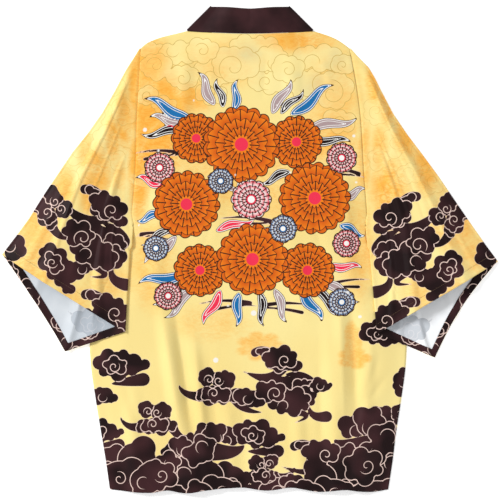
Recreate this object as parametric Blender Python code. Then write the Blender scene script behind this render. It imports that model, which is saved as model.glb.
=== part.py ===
"""A short summer robe with wide sleeves and an open front, laid face down.

The robe lies on its two fronts with the back on top and the neck towards +Y.
The origin is under the middle of its outline, on the surface that it lies on.
Every piece is a wall of cloth: a grid of points on the middle of the wall,
placed by the functions below, which Solidify then makes as thick as the wall.
Lengths are in millimetres until a mesh is made.
"""

from collections import namedtuple
import math

import bmesh
import bpy
import numpy as np

MM = 0.001

# Walls and seams
CLOTH = 1.2
BAND = 2.0
SEAM_GAP = 0.3
BAND_SEAM_GAP = 0.45
CLEARANCE = 0.6

# The neck and the collar band
NECK_HALF = 103.0
NECK_TOP = 358.5
NECK_DIP = 5.5
BAND_WIDTH = 39.4
BAND_TOP_DIP = 4.0
BAND_FOLD_RADIUS = 1.5
BAND_RISE = 4.0
HEM_FRONT = -391.5

# How high the back stands over the surface: on a seam, at the neck point and where it is free
FRONT_LEVEL = CLOTH / 2
SEAM_LEVEL = CLOTH + SEAM_GAP + CLOTH / 2
NECK_POINT_RISE = 1.1
NECK_POINT_REACH = 32.0
LOFT = 8.0
LOFT_REACH = 62.0
ARM_LOFT = 6.0

# The sleeve
SLEEVE_FOLD_RADIUS = 1.5
SLEEVE_EDGE_GAP = 0.5
SLEEVE_CLIMB = 58.0
UNDERARM_CLIMB = 20.0
SQUARE_SHARE = 0.8
CUFF_GAPE = 17.0
ARM_GAPE = 5.0

EdgeRow = namedtuple("EdgeRow", "height left right")
ARMHOLE = [
    EdgeRow(330.0, -179.5, 163.5),
    EdgeRow(269.0, -182.5, 174.0),
    EdgeRow(223.0, -185.0, 180.0),
    EdgeRow(115.0, -188.5, 187.0),
    EdgeRow(38.0, -196.0, 194.0),
]
UNDERARM_EASE = 3.0
UNDERARM_EASE_REACH = 26.0
SIDE = [
    EdgeRow(38.0, -193.0, 191.0),
    EdgeRow(27.0, -192.5, 190.5),
    EdgeRow(11.0, -194.5, 192.5),
    EdgeRow(-6.0, -203.0, 201.0),
    EdgeRow(-40.0, -228.0, 223.0),
    EdgeRow(-100.0, -253.0, 247.0),
    EdgeRow(-155.0, -263.0, 257.0),
    EdgeRow(-185.0, -261.5, 256.0),
    EdgeRow(-248.0, -253.0, 248.0),
    EdgeRow(-300.0, -244.5, 240.0),
    EdgeRow(-345.0, -237.0, 234.5),
    EdgeRow(-394.0, -230.0, 227.0),
]

TopPoint = namedtuple("TopPoint", "x height")
LEFT_SHOULDER = [
    TopPoint(-179.5, 330.0),
    TopPoint(-171.0, 337.5),
    TopPoint(-159.0, 343.5),
    TopPoint(-118.0, 355.0),
    TopPoint(-NECK_HALF, NECK_TOP),
]
RIGHT_SHOULDER = [
    TopPoint(NECK_HALF, NECK_TOP),
    TopPoint(116.0, 355.0),
    TopPoint(144.0, 344.0),
    TopPoint(156.0, 336.0),
    TopPoint(163.5, 330.0),
]
HEM = [
    TopPoint(-230.0, -395.0),
    TopPoint(-185.0, -399.0),
    TopPoint(-160.0, -400.0),
    TopPoint(-135.0, -396.5),
    TopPoint(-112.0, -400.5),
    TopPoint(-65.0, -396.0),
    TopPoint(-15.0, -393.0),
    TopPoint(34.0, -398.0),
    TopPoint(66.0, -394.0),
    TopPoint(116.0, -401.5),
    TopPoint(148.0, -398.5),
    TopPoint(205.0, -403.0),
    TopPoint(227.0, -400.0),
]

# The corners of each cuff: the top fold, the tip of the lower layer's edge, and the inner corner.
# The bow is how far the lower layer's edge draws in between the top fold and the tip.
CuffCorners = namedtuple("CuffCorners", "top_x top_y tip_x tip_y inner_x inner_y bow")
CUFFS = {
    "left": CuffCorners(-405.5, -9.0, -302.5, -166.0, -205.5, -134.0, 2.0),
    "right": CuffCorners(405.5, -20.5, 303.5, -175.0, 209.0, -135.0, 6.0),
}
TIP_SHARE = 0.64

# How far each sleeve's top fold draws in from a straight line, along the sleeve
TopFoldRow = namedtuple("TopFoldRow", "along left right")
TOP_FOLD = [
    TopFoldRow(0.00, 0.0, 0.0),
    TopFoldRow(0.10, 2.0, -3.6),
    TopFoldRow(0.20, 6.5, 0.8),
    TopFoldRow(0.30, 9.2, 5.2),
    TopFoldRow(0.40, 8.2, 5.5),
    TopFoldRow(0.50, 4.4, 3.2),
    TopFoldRow(0.60, 4.2, 1.6),
    TopFoldRow(0.70, 4.0, 1.8),
    TopFoldRow(0.82, 5.4, 1.6),
    TopFoldRow(0.92, 3.0, 1.2),
    TopFoldRow(1.00, 0.0, 0.0),
]

# A fold is a ridge from its start to its end. An open end runs out at full height over a hem.
Fold = namedtuple("Fold", "x0 y0 x1 y1 half_width height open_end")
BACK_FOLDS = [
    Fold(-142, -60, -92, -400, 26, 6.0, True),
    Fold(-98, -120, -66, -400, 17, 4.2, True),
    Fold(132, -90, 142, -400, 24, 5.5, True),
    Fold(196, -150, 176, -400, 20, 4.0, True),
    Fold(-196, -210, -186, -400, 21, 4.2, True),
    Fold(8, -240, 18, -400, 26, 3.6, True),
    Fold(-40, -210, -28, -400, 18, 2.6, True),
    Fold(74, -230, 86, -400, 18, 3.0, True),
    Fold(-104, 352, -112, 170, 19, 2.6, False),
    Fold(66, 352, 74, 130, 20, 2.8, False),
    Fold(-165, 150, -150, -120, 18, 2.6, False),
    Fold(158, 120, 168, -80, 18, 2.8, False),
    Fold(-30, 190, -80, -20, 26, 2.2, False),
    Fold(60, 40, 96, -140, 24, 2.4, False),
]
SleeveFold = namedtuple("SleeveFold", "along0 across0 along1 across1 half_width height")
SLEEVE_FOLDS = {
    "left": [
        SleeveFold(0.02, 0.03, 1.00, 0.34, 0.075, 4.5),
        SleeveFold(0.10, 0.55, 1.00, 0.78, 0.070, 3.0),
        SleeveFold(0.55, 0.10, 1.00, 0.17, 0.050, 2.0),
    ],
    "right": [
        SleeveFold(0.02, 0.05, 1.00, 0.27, 0.070, 4.8),
        SleeveFold(0.08, 0.42, 1.00, 0.70, 0.075, 3.2),
        SleeveFold(0.50, 0.80, 1.00, 0.88, 0.050, 2.0),
    ],
}

# Grid sizes, in cells
BACK_SHOULDER_COLUMNS = 7
BACK_NECK_COLUMNS = 24
BACK_ROWS = 32
FRONT_COLUMNS = 7
FRONT_ROWS = 24
SLEEVE_RINGS = 17
SLEEVE_LAYER_CELLS = 16
SLEEVE_TURN_CELLS = 4
BAND_BACK_CELLS = 12
BAND_TURN_CELLS = 5
BAND_SLANT_CELLS = 3
BAND_LEG_CELLS = 10
BAND_ACROSS_CELLS = 2

# Colours, as linear red, green and blue
YELLOW = (0.86, 0.60, 0.16, 1.0)
PALE_YELLOW = (0.88, 0.68, 0.26, 1.0)
BROWN = (0.035, 0.014, 0.013, 1.0)


def smooth_step(value):
    t = np.clip(value, 0.0, 1.0)
    return t * t * (3.0 - 2.0 * t)


def along_points(points, share):
    """Points at the given shares of the way along a line of points, joined smoothly."""
    points = np.array(points, float)
    steps = np.linalg.norm(np.diff(points, axis=0), axis=1)
    at = np.concatenate([[0.0], np.cumsum(steps)]) / steps.sum()
    slopes = np.gradient(points, at, axis=0)
    share = np.clip(np.asarray(share, float), 0.0, 1.0)
    k = np.clip(np.searchsorted(at, share, side="right") - 1, 0, len(at) - 2)
    span = (at[k + 1] - at[k])[:, None]
    t = ((share - at[k])[:, None]) / span
    return (
        (2 * t**3 - 3 * t**2 + 1) * points[k]
        + (t**3 - 2 * t**2 + t) * span * slopes[k]
        + (3 * t**2 - 2 * t**3) * points[k + 1]
        + (t**3 - t**2) * span * slopes[k + 1]
    )


def edge_line(rows, side):
    return [(getattr(row, side), row.height) for row in rows]


def side_edge(side, share):
    """The back's edge from the shoulder tip to the hem: the armhole, then the side seam."""
    armhole = edge_line(ARMHOLE, side)
    seam = edge_line(SIDE, side)
    armhole_length = length_of(armhole)
    part = armhole_length / (armhole_length + length_of(seam))
    upper = along_points(armhole, share / part)
    ease = UNDERARM_EASE * smooth_step(1.0 - (upper[:, 1] - armhole[-1][1]) / UNDERARM_EASE_REACH)
    upper[:, 0] -= np.sign(upper[:, 0]) * ease
    lower = along_points(seam, (share - part) / (1.0 - part))
    return np.where((share <= part)[:, None], upper, lower)


def length_of(points):
    return float(np.linalg.norm(np.diff(np.array(points, float), axis=0), axis=1).sum())


def neck_edge(x):
    """Height of the back's neckline at x."""
    return NECK_TOP - NECK_DIP * np.cos(0.5 * math.pi * np.asarray(x) / NECK_HALF) ** 0.8


def coons(top, bottom, left, right, u, v):
    """The grid of points inside four edges. top and bottom have a point for each u, left and right for each v."""
    u, v = u[None, :, None], v[:, None, None]
    across = (1 - v) * top[None] + v * bottom[None]
    down = (1 - u) * left[:, None] + u * right[:, None]
    corners = (1 - u) * (1 - v) * top[0] + u * (1 - v) * top[-1]
    corners = corners + (1 - u) * v * bottom[0] + u * v * bottom[-1]
    return across + down - corners


def distance_to_line(x, y, line):
    """The distance from each point to a line of points."""
    best = np.full(np.shape(x), np.inf)
    for (ax, ay), (bx, by) in zip(line[:-1], line[1:]):
        dx, dy = bx - ax, by - ay
        t = np.clip(((x - ax) * dx + (y - ay) * dy) / (dx * dx + dy * dy), 0.0, 1.0)
        best = np.minimum(best, np.hypot(x - ax - t * dx, y - ay - t * dy))
    return best


def seam_lines():
    """The seams that hold the back down on the fronts."""
    fine = np.linspace(0.0, 1.0, 40)
    left = np.concatenate([along_points(LEFT_SHOULDER, fine)[::-1], side_edge("left", fine)[1:]])
    right = np.concatenate([along_points(RIGHT_SHOULDER, fine), side_edge("right", fine)[1:]])
    return left, right


SEAMS = seam_lines()


def fold_height(x, y, folds):
    """What the ridges add at each point."""
    height = np.zeros(np.shape(x))
    for fold in folds:
        dx, dy = fold.x1 - fold.x0, fold.y1 - fold.y0
        share = ((x - fold.x0) * dx + (y - fold.y0) * dy) / (dx * dx + dy * dy)
        away = np.abs((x - fold.x0) * dy - (y - fold.y0) * dx) / math.hypot(dx, dy)
        ridge = np.cos(0.5 * math.pi * np.clip(away / fold.half_width, 0.0, 1.0)) ** 2
        fade = smooth_step(share / 0.4)
        if not fold.open_end:
            fade = fade * smooth_step((1.0 - share) / 0.4)
        height = height + fold.height * ridge * fade
    return height


def back_level(x, y):
    """Height of the middle of the back's wall at each point."""
    seam = np.minimum(distance_to_line(x, y, SEAMS[0]), distance_to_line(x, y, SEAMS[1]))
    free = smooth_step(seam / LOFT_REACH)
    neck_point = np.hypot(np.abs(x) - NECK_HALF, y - NECK_TOP)
    rise = NECK_POINT_RISE * smooth_step(1.0 - neck_point / NECK_POINT_REACH)
    loft = free * LOFT + (1.0 - free) * armhole_loft(y)
    return SEAM_LEVEL + rise + loft + free * fold_height(x, y, BACK_FOLDS)


def armhole_loft(y):
    """How far the back's edge stands off the front's, where the arm goes through."""
    share = (np.asarray(y) - ARMHOLE[-1].height) / (ARMHOLE[0].height - ARMHOLE[-1].height)
    return ARM_LOFT * smooth_step(share / 0.32) * smooth_step((1.0 - share) / 0.32)


def back_grid():
    left_part = np.linspace(0.0, 1.0, BACK_SHOULDER_COLUMNS + 1)
    neck_x = np.linspace(-NECK_HALF, NECK_HALF, BACK_NECK_COLUMNS + 1)
    neck = np.stack([neck_x, neck_edge(neck_x)], axis=1)
    top = np.concatenate(
        [
            along_points(LEFT_SHOULDER, left_part)[:-1],
            neck,
            along_points(RIGHT_SHOULDER, left_part)[1:],
        ]
    )
    u = (top[:, 0] - top[0, 0]) / (top[-1, 0] - top[0, 0])
    v = np.linspace(0.0, 1.0, BACK_ROWS + 1)
    grid = coons(top, along_points(HEM, u), side_edge("left", v), side_edge("right", v), u, v)
    return with_level(grid, back_level(grid[..., 0], grid[..., 1]))


def front_grid(side):
    """One front: its outer edge lies under the back's, and its inner edge meets the collar band."""
    sign = -1.0 if side == "left" else 1.0
    u = np.linspace(0.0, 1.0, FRONT_COLUMNS + 1)
    v = np.linspace(0.0, 1.0, FRONT_ROWS + 1)
    shoulder = LEFT_SHOULDER if side == "left" else RIGHT_SHOULDER[::-1]
    top = along_points(shoulder, u)
    outer = side_edge(side, v)
    inner = np.stack([np.full(len(v), sign * NECK_HALF), NECK_TOP + (HEM_FRONT - NECK_TOP) * v], axis=1)
    outer = outer + v[:, None] ** 6 * np.array([0.0, HEM_FRONT - outer[-1, 1]])
    bottom = (1 - u)[:, None] * outer[-1] + u[:, None] * inner[-1]
    if side == "left":
        grid = coons(top, bottom, outer, inner, u, v)
    else:
        grid = coons(top[::-1], bottom[::-1], inner, outer, u, v)
    return with_level(grid, np.full(grid.shape[:2], FRONT_LEVEL))


def with_level(grid, level):
    return np.concatenate([grid, np.asarray(level)[..., None]], axis=2)


def under_sleeve_level(x, y, side):
    """Height that a sleeve's lower layer lies at: on the surface, and on the back where that is under it."""
    seam = along_points(edge_line(SIDE, side), np.linspace(0.0, 1.0, 40))
    sign = -1.0 if side == "left" else 1.0
    edge_x = np.interp(y, seam[::-1, 1], seam[::-1, 0])
    inside = (sign * x < sign * edge_x) & (y < seam[0, 1])
    outside = np.where(inside, 0.0, distance_to_line(x, y, seam))
    on_back = np.where(inside, back_level(x, y), SEAM_LEVEL) + CLOTH + CLEARANCE
    climb = smooth_step(1.0 - outside / SLEEVE_CLIMB) * smooth_step((seam[0, 1] - 2.0 - y) / UNDERARM_CLIMB)
    return FRONT_LEVEL + climb * (on_back - FRONT_LEVEL)


def curves(start, end, leave, arrive, share):
    """Points along a curve from each start to each end, by the directions it leaves and arrives in."""
    t = share[:, None, None]
    return (
        (2 * t**3 - 3 * t**2 + 1) * start
        + (t**3 - 2 * t**2 + t) * leave
        + (3 * t**2 - 2 * t**3) * end
        + (t**3 - t**2) * arrive
    )


def sleeve_plan(side, along, across, layer):
    """Places of a sleeve layer's points.

    along runs from the armhole to the cuff, across from the top fold to the lower fold. The lines
    of points near the lower fold leave the armhole more squarely than the fold does.
    """
    cuff = CUFFS[side]
    sign = -1.0 if side == "left" else 1.0
    armhole = np.array(edge_line(ARMHOLE, side)) + np.array([sign * SLEEVE_EDGE_GAP, 0.0])
    top_end = np.array([cuff.top_x, cuff.top_y])
    inner_end = np.array([cuff.inner_x, cuff.inner_y])
    start = along_points(armhole, across)
    end = top_end + across[:, None] * (inner_end - top_end)
    if layer == "under":
        tip = np.array([cuff.tip_x, cuff.tip_y])
        before = top_end + (across / TIP_SHARE)[:, None] * (tip - top_end)
        after = tip + ((across - TIP_SHARE) / (1.0 - TIP_SHARE))[:, None] * (inner_end - tip)
        edge = tip - top_end
        inward = np.array([edge[1], -edge[0]]) / np.linalg.norm(edge)
        if np.dot(inward, inner_end - top_end) < 0.0:
            inward = -inward
        bow = cuff.bow * np.sin(math.pi * np.clip(across / TIP_SHARE, 0.0, 1.0))
        before = before + bow[:, None] * inward
        end = np.where((across <= TIP_SHARE)[:, None], before, after)
    chord = end - start
    length = np.linalg.norm(chord, axis=1, keepdims=True)
    turned = (SQUARE_SHARE * across**1.5 * np.sqrt(np.clip((1.0 - across) / 0.12, 0.0, 1.0)))[:, None]
    leave = (1 - turned) * chord + turned * length * np.array([sign, 0.0])
    plan = curves(start, end, leave, chord, along)
    drawn_in = np.interp(along, [row.along for row in TOP_FOLD], [getattr(row, side) for row in TOP_FOLD])
    dip = drawn_in[:, None] * (1.0 - across)[None] ** 2
    run = top_end - armhole[0]
    inward = np.array([run[1], -run[0]]) * sign / np.linalg.norm(run)
    return plan + dip[..., None] * inward


def gape(side, along, across):
    """How far the upper layer of a sleeve stands off the lower one, between its two folds."""
    a, c = along[:, None], across[None, :]
    crest = 0.10 + 0.30 * a
    turn = np.where(c < crest, 0.5 * c / crest, 0.5 + 0.5 * (c - crest) / (1.0 - crest))
    height = (ARM_GAPE + (CUFF_GAPE - ARM_GAPE) * a) * np.sin(math.pi * turn)
    armhole = along_points(edge_line(ARMHOLE, side), across)
    opened = smooth_step(a / 0.2)
    height = opened * height + (1.0 - opened) * armhole_loft(armhole[:, 1])[None]
    for fold in SLEEVE_FOLDS[side]:
        share = (a - fold.along0) / (fold.along1 - fold.along0)
        line = fold.across0 + share * (fold.across1 - fold.across0)
        ridge = np.cos(0.5 * math.pi * np.clip(np.abs(c - line) / fold.half_width, 0.0, 1.0)) ** 2
        height = height + fold.height * ridge * smooth_step(share / 0.25) * smooth_step(c / 0.05)
    return height * smooth_step(c / 0.03) * smooth_step((1.0 - c) / 0.03)


def sleeve_rings(side):
    """Rings of points round a sleeve, from the armhole to the cuff.

    A ring runs over the upper layer from the top fold, round the lower fold,
    back along the lower layer and round the top fold.
    """
    along = np.linspace(0.0, 1.0, SLEEVE_RINGS + 1)
    margin = 0.5 / SLEEVE_LAYER_CELLS
    across = margin + (1.0 - 2.0 * margin) * np.linspace(0.0, 1.0, SLEEVE_LAYER_CELLS)
    nearest = np.abs(across - TIP_SHARE).argmin()
    across[nearest] = TIP_SHARE
    across = np.concatenate([[0.0], across, [1.0]])
    opened = smooth_step(along / 0.15)[:, None]
    lowest = smooth_step((across - 0.9) / 0.1)[None]
    radius = SLEEVE_FOLD_RADIUS * (0.5 + 0.5 * np.maximum(opened, 0.8 * lowest))
    under = sleeve_plan(side, along, across, "under")
    upper = sleeve_plan(side, along, across, "upper")
    under_z = under_sleeve_level(under[..., 0], under[..., 1], side)
    upper_floor = under_sleeve_level(upper[..., 0], upper[..., 1], side)
    upper_z = upper_floor + 2.0 * radius + gape(side, along, across)
    upper = with_level(upper, upper_z)
    under = with_level(under, under_z)
    lower_turn = fold_turn(upper[:, -1], under[:, -1], upper[:, -2])
    top_turn = fold_turn(under[:, 0], upper[:, 0], under[:, 1])
    return np.concatenate([upper, lower_turn, under[:, ::-1], top_turn], axis=1)


def fold_turn(start, end, inner):
    """Points that turn from one layer to the other round a fold, outside its edge."""
    middle = (start + end) / 2.0
    radius = np.linalg.norm(start - end, axis=1, keepdims=True) / 2.0
    run = np.gradient(middle[:, :2], axis=0)
    outward = np.stack([run[:, 1], -run[:, 0], np.zeros(len(run))], axis=1)
    outward = outward / np.linalg.norm(outward, axis=1, keepdims=True)
    half = len(run) // 2
    if np.dot(outward[half], start[half] - inner[half]) < 0.0:
        outward = -outward
    points = []
    for k in range(1, SLEEVE_TURN_CELLS):
        angle = math.pi * k / SLEEVE_TURN_CELLS
        points.append(middle + (start - middle) * math.cos(angle) + outward * radius * math.sin(angle))
    return np.stack(points, axis=1)


def band_sections():
    """The right half of the collar band, from the middle of the back neck to the front hem.

    A section runs from the edge that is sewn on to the free edge.
    """
    sewn_x = NECK_HALF - BAND_SEAM_GAP
    free_x = sewn_x - BAND_WIDTH
    sewn_top = NECK_TOP + BAND_SEAM_GAP
    free_top = sewn_top + BAND_WIDTH
    low = BAND / 2.0
    high = low + 2.0 * BAND_FOLD_RADIUS
    sections = []
    for k in range(BAND_BACK_CELLS + 1):
        share = k / BAND_BACK_CELLS
        x = share * sewn_x
        sewn_y = float(neck_edge(x)) + BAND_SEAM_GAP
        free_y = free_top - BAND_TOP_DIP * math.cos(0.5 * math.pi * share) ** 2
        neck_level = float(back_level(np.array([x]), np.array([sewn_y]))[0])
        level = max(high, neck_level)
        stand = BAND_RISE * math.sin(math.pi * share) * (1.0 - share)
        sections.append(((x, sewn_y, level), (share * free_x, free_y, level + stand)))
    outward = math.sqrt(0.5)
    for k in range(1, BAND_TURN_CELLS):
        angle = math.pi * k / BAND_TURN_CELLS
        push = BAND_FOLD_RADIUS * math.sin(angle) * outward
        level = low + BAND_FOLD_RADIUS * (1.0 + math.cos(angle))
        sections.append(
            ((sewn_x + push, sewn_top + push, level), (free_x + push, free_top + push, level))
        )
    for k in range(BAND_SLANT_CELLS + 1):
        share = k / BAND_SLANT_CELLS
        drop = share * (BAND_WIDTH + 10.0)
        sections.append(((sewn_x, sewn_top - 10.0 * share, low), (free_x, free_top - drop, low)))
    start = sewn_top - 10.0
    for k in range(1, BAND_LEG_CELLS + 1):
        y = start + (HEM_FRONT - start) * k / BAND_LEG_CELLS
        sections.append(((sewn_x, y, low), (free_x, y, low)))
    return np.array(sections)


def band_grid():
    half = band_sections()
    mirrored = half[:0:-1] * np.array([-1.0, 1.0, 1.0])
    whole = np.concatenate([mirrored, half])
    share = np.linspace(0.0, 1.0, BAND_ACROSS_CELLS + 1)[None, :, None]
    return whole[:, :1] + share * (whole[:, 1:] - whole[:, :1])


def new_object(name, bm, colour, wall):
    """A named object from a bmesh, with its material and the thickness of its wall."""
    mesh = bpy.data.meshes.new(name)
    bm.to_mesh(mesh)
    bm.free()
    obj = bpy.data.objects.new(name, mesh)
    bpy.context.scene.collection.objects.link(obj)
    mesh.materials.append(cloth_material(name + "_cloth", colour))
    mesh.shade_smooth()
    solidify = obj.modifiers.new("wall", "SOLIDIFY")
    solidify.thickness = wall * MM
    solidify.offset = 0.0
    solidify.use_even_offset = True
    return obj


def cloth_material(name, colour):
    material = bpy.data.materials.new(name)
    material.use_nodes = True
    shader = material.node_tree.nodes["Principled BSDF"]
    shader.inputs["Base Color"].default_value = colour
    shader.inputs["Roughness"].default_value = 0.6
    shader.inputs["Metallic"].default_value = 0.0
    return material


def sheet(name, grid, colour, wall):
    """A flat piece: a grid mesh whose vertices are moved to the given points."""
    rows, columns = grid.shape[0] - 1, grid.shape[1] - 1
    bm = bmesh.new()
    bmesh.ops.create_grid(bm, x_segments=columns, y_segments=rows, size=0.5)
    bm.verts.ensure_lookup_table()
    for vert in bm.verts:
        column = round((vert.co.x + 0.5) * columns)
        row = round((0.5 - vert.co.y) * rows)
        vert.co = grid[row, column] * MM
    bmesh.ops.recalc_face_normals(bm, faces=bm.faces)
    if sum(face.normal.z * face.calc_area() for face in bm.faces) < 0.0:
        bmesh.ops.reverse_faces(bm, faces=bm.faces)
    return new_object(name, bm, colour, wall)


def tube(name, rings, colour, wall):
    """A sleeve: one ring of edges, extruded ring by ring."""
    bm = bmesh.new()
    count = rings.shape[1]
    first = bmesh.ops.create_circle(bm, segments=count, radius=1.0)["verts"]
    first.sort(key=lambda vert: math.atan2(vert.co.y, vert.co.x) % (2.0 * math.pi))
    for vert, place in zip(first, rings[0]):
        vert.co = place * MM
    ring = first
    for places in rings[1:]:
        edges = [bm.edges.get((ring[k], ring[(k + 1) % count])) for k in range(count)]
        made = bmesh.ops.extrude_edge_only(bm, edges=edges)["geom"]
        new_verts = {v for v in made if isinstance(v, bmesh.types.BMVert)}
        following = []
        for vert in ring:
            partner = next(e.other_vert(vert) for e in vert.link_edges if e.other_vert(vert) in new_verts)
            following.append(partner)
        for vert, place in zip(following, places):
            vert.co = place * MM
        ring = following
    bmesh.ops.recalc_face_normals(bm, faces=bm.faces)
    return new_object(name, bm, colour, wall)


def main():
    for obj in list(bpy.data.objects):
        bpy.data.objects.remove(obj, do_unlink=True)
    sheet("front_left", front_grid("left"), PALE_YELLOW, CLOTH)
    sheet("front_right", front_grid("right"), PALE_YELLOW, CLOTH)
    sheet("back", back_grid(), YELLOW, CLOTH)
    tube("sleeve_left", sleeve_rings("left"), YELLOW, CLOTH)
    tube("sleeve_right", sleeve_rings("right"), YELLOW, CLOTH)
    sheet("collar_band", band_grid(), BROWN, BAND)


main()
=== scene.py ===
"""The looks of a short summer robe with wide sleeves and an open front, laid face down.

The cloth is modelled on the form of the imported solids, from the same sizes, with finer creases.
Lengths are in millimetres until a mesh is made. The print is drawn by the materials, from
distances and places that are worked out for every vertex and kept in named attributes.
"""

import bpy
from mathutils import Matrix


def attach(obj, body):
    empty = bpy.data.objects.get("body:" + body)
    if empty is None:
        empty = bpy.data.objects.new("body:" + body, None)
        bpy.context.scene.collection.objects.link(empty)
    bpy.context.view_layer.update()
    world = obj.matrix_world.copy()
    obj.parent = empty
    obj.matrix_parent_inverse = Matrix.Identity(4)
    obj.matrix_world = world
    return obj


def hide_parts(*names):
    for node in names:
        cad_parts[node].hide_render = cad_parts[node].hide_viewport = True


bl_info = {
    "name": "Short Summer Robe",
    "version": (1, 0, 0),
    "blender": (4, 5, 0),
    "location": "View3D > Sidebar > Robe",
    "description": "Models a short robe with wide sleeves and a printed cloth, laid face down",
    "category": "Object",
}

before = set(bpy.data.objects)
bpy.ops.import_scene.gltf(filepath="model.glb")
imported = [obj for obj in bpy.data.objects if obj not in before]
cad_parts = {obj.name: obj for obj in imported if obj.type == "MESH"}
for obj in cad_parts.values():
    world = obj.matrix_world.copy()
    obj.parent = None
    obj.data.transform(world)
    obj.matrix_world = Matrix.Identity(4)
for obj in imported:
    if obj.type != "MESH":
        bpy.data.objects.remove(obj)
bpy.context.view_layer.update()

from collections import namedtuple
import math

import bmesh
import bpy
from bpy.props import FloatProperty, FloatVectorProperty, IntProperty, PointerProperty
from mathutils import Matrix, Vector
import numpy as np

MM = 0.001

# The sides as the camera sees them, with the sign that x has there
SIGN = {"left": -1.0, "right": 1.0}


def rows(kind, *values):
    """A table of rows of one kind."""
    return [kind(*row) for row in values]


# Walls and seams of the solids
WALL = 1.2
SEAM_GAP = 0.3
BAND_SEAM_GAP = 0.45
CLEARANCE = 0.6

# The neck and the collar band. The slant is how far down the band's sewn edge has come where the
# band has turned from the neck into the front.
NECK_HALF = 103.0
NECK_TOP = 358.5
NECK_DIP = 5.5
NECK_FULLNESS = 0.8
BAND = 2.0
BAND_WIDTH = 39.4
BAND_TOP_DIP = 4.0
BAND_FOLD_RADIUS = 1.5
BAND_RISE = 4.0
BAND_SLANT = 10.0
HEM_FRONT = -391.5
HEM_EASE_POWER = 6

# How high the back stands over the surface: on a seam, at the neck point and where it is free
FRONT_LEVEL = WALL / 2
SEAM_LEVEL = WALL + SEAM_GAP + WALL / 2
NECK_POINT_RISE = 1.1
NECK_POINT_REACH = 32.0
LOFT = 8.0
LOFT_REACH = 62.0
ARM_LOFT = 6.0
ARM_LOFT_FADE = 0.32
TUCK = 0.66
TUCK_REACH = 5.0

# The underarm, where the sleeve's lower fold lies over the back's edge
UNDERARM_LOW = -16.0
UNDERARM_NEAR = 14.0
UNDERARM_SHIFT = 3.5
UNDERARM_DROP = 2.0
UNDERARM_EASE = 3.0
UNDERARM_EASE_REACH = 26.0
UNDERLAP = 1.4
UNDERLAP_DROP = 1.15

# The sleeve
SLEEVE_FOLD_RADIUS = 1.5
SLEEVE_EDGE_GAP = 0.5
SLEEVE_CLIMB = 58.0
UNDERARM_CLIMB = 20.0
CUFF_GAPE = 17.0
ARM_GAPE = 5.0

# How a sleeve's form changes, mostly in shares of its length and width
SQUARE_SHARE = 0.8
SQUARE_POWER = 1.5
SQUARE_FADE = 0.12
GAPE_CREST = 0.10
GAPE_CREST_SHIFT = 0.30
GAPE_OPENING = 0.2
ROUND_OPENING = 0.15
LOWEST = 0.9
LOWEST_ROUND = 0.8
SEAM_END = 0.014
SEAM_MARGIN = 0.04
LAYER_MARGIN = 0.03
FOLD_MARGIN = 0.05

# How sharp a crease's top is, and the share of a fold's length over which it rises
SHARPNESS = 0.004
STEEPNESS = 1.5
FOLD_FADE = 0.4
SLEEVE_FOLD_FADE = 0.25

# How many points a seam has where it is used as a line
SEAM_POINTS = 40
FINE_SEAM_POINTS = 60

# The armholes, the side seams, the shoulders and the hem
EdgeRow = namedtuple("EdgeRow", "height left right")
ARMHOLE = rows(
    EdgeRow,
    (330.0, -179.5, 163.5), (269.0, -182.5, 174.0), (223.0, -185.0, 180.0), (115.0, -188.5, 187.0),
    (38.0, -196.0, 194.0),
)
SIDE = rows(
    EdgeRow,
    (38.0, -193.0, 191.0), (27.0, -192.5, 190.5), (11.0, -194.5, 192.5), (-6.0, -203.0, 201.0),
    (-40.0, -228.0, 223.0), (-100.0, -253.0, 247.0), (-155.0, -263.0, 257.0), (-185.0, -261.5, 256.0),
    (-248.0, -253.0, 248.0), (-300.0, -244.5, 240.0), (-345.0, -237.0, 234.5), (-394.0, -230.0, 227.0),
)
LEFT_SHOULDER = [
    (-179.5, 330.0), (-171.0, 337.5), (-159.0, 343.5), (-118.0, 355.0), (-NECK_HALF, NECK_TOP),
]
RIGHT_SHOULDER = [
    (NECK_HALF, NECK_TOP), (116.0, 355.0), (144.0, 344.0), (156.0, 336.0), (163.5, 330.0),
]
HEM = [
    (-230.0, -395.0), (-185.0, -399.0), (-160.0, -400.0), (-135.0, -396.5), (-112.0, -400.5),
    (-65.0, -396.0), (-15.0, -393.0), (34.0, -398.0), (66.0, -394.0), (116.0, -401.5), (148.0, -398.5),
    (205.0, -403.0), (227.0, -400.0),
]

# The corners of each cuff: the top fold, the tip of the lower layer's edge, and the inner corner.
# The bow is how far the lower layer's edge draws in between the top fold and the tip.
CuffCorners = namedtuple("CuffCorners", "top_x top_y tip_x tip_y inner_x inner_y bow")
CUFFS = {
    "left": CuffCorners(-405.8, -9.6, -303.0, -167.0, -205.5, -135.0, 2.2),
    "right": CuffCorners(405.5, -20.6, 303.5, -177.4, 209.0, -137.0, 8.0),
}
TIP_SHARE = 0.64

# How far each sleeve's top fold draws in from a straight line, along the sleeve
TopFoldRow = namedtuple("TopFoldRow", "along left right")
TOP_FOLD = rows(
    TopFoldRow,
    (0.00, 0.0, 0.0), (0.05, 0.8, -2.6), (0.10, 1.4, -6.0), (0.15, 3.4, -4.4), (0.20, 5.6, -1.2),
    (0.30, 8.2, 4.0), (0.40, 7.2, 4.4), (0.50, 3.4, 2.4), (0.60, 3.2, 1.2), (0.70, 3.0, 1.4),
    (0.82, 4.2, 1.6), (0.92, 2.2, 1.2), (1.00, 0.0, 0.0),
)

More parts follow.
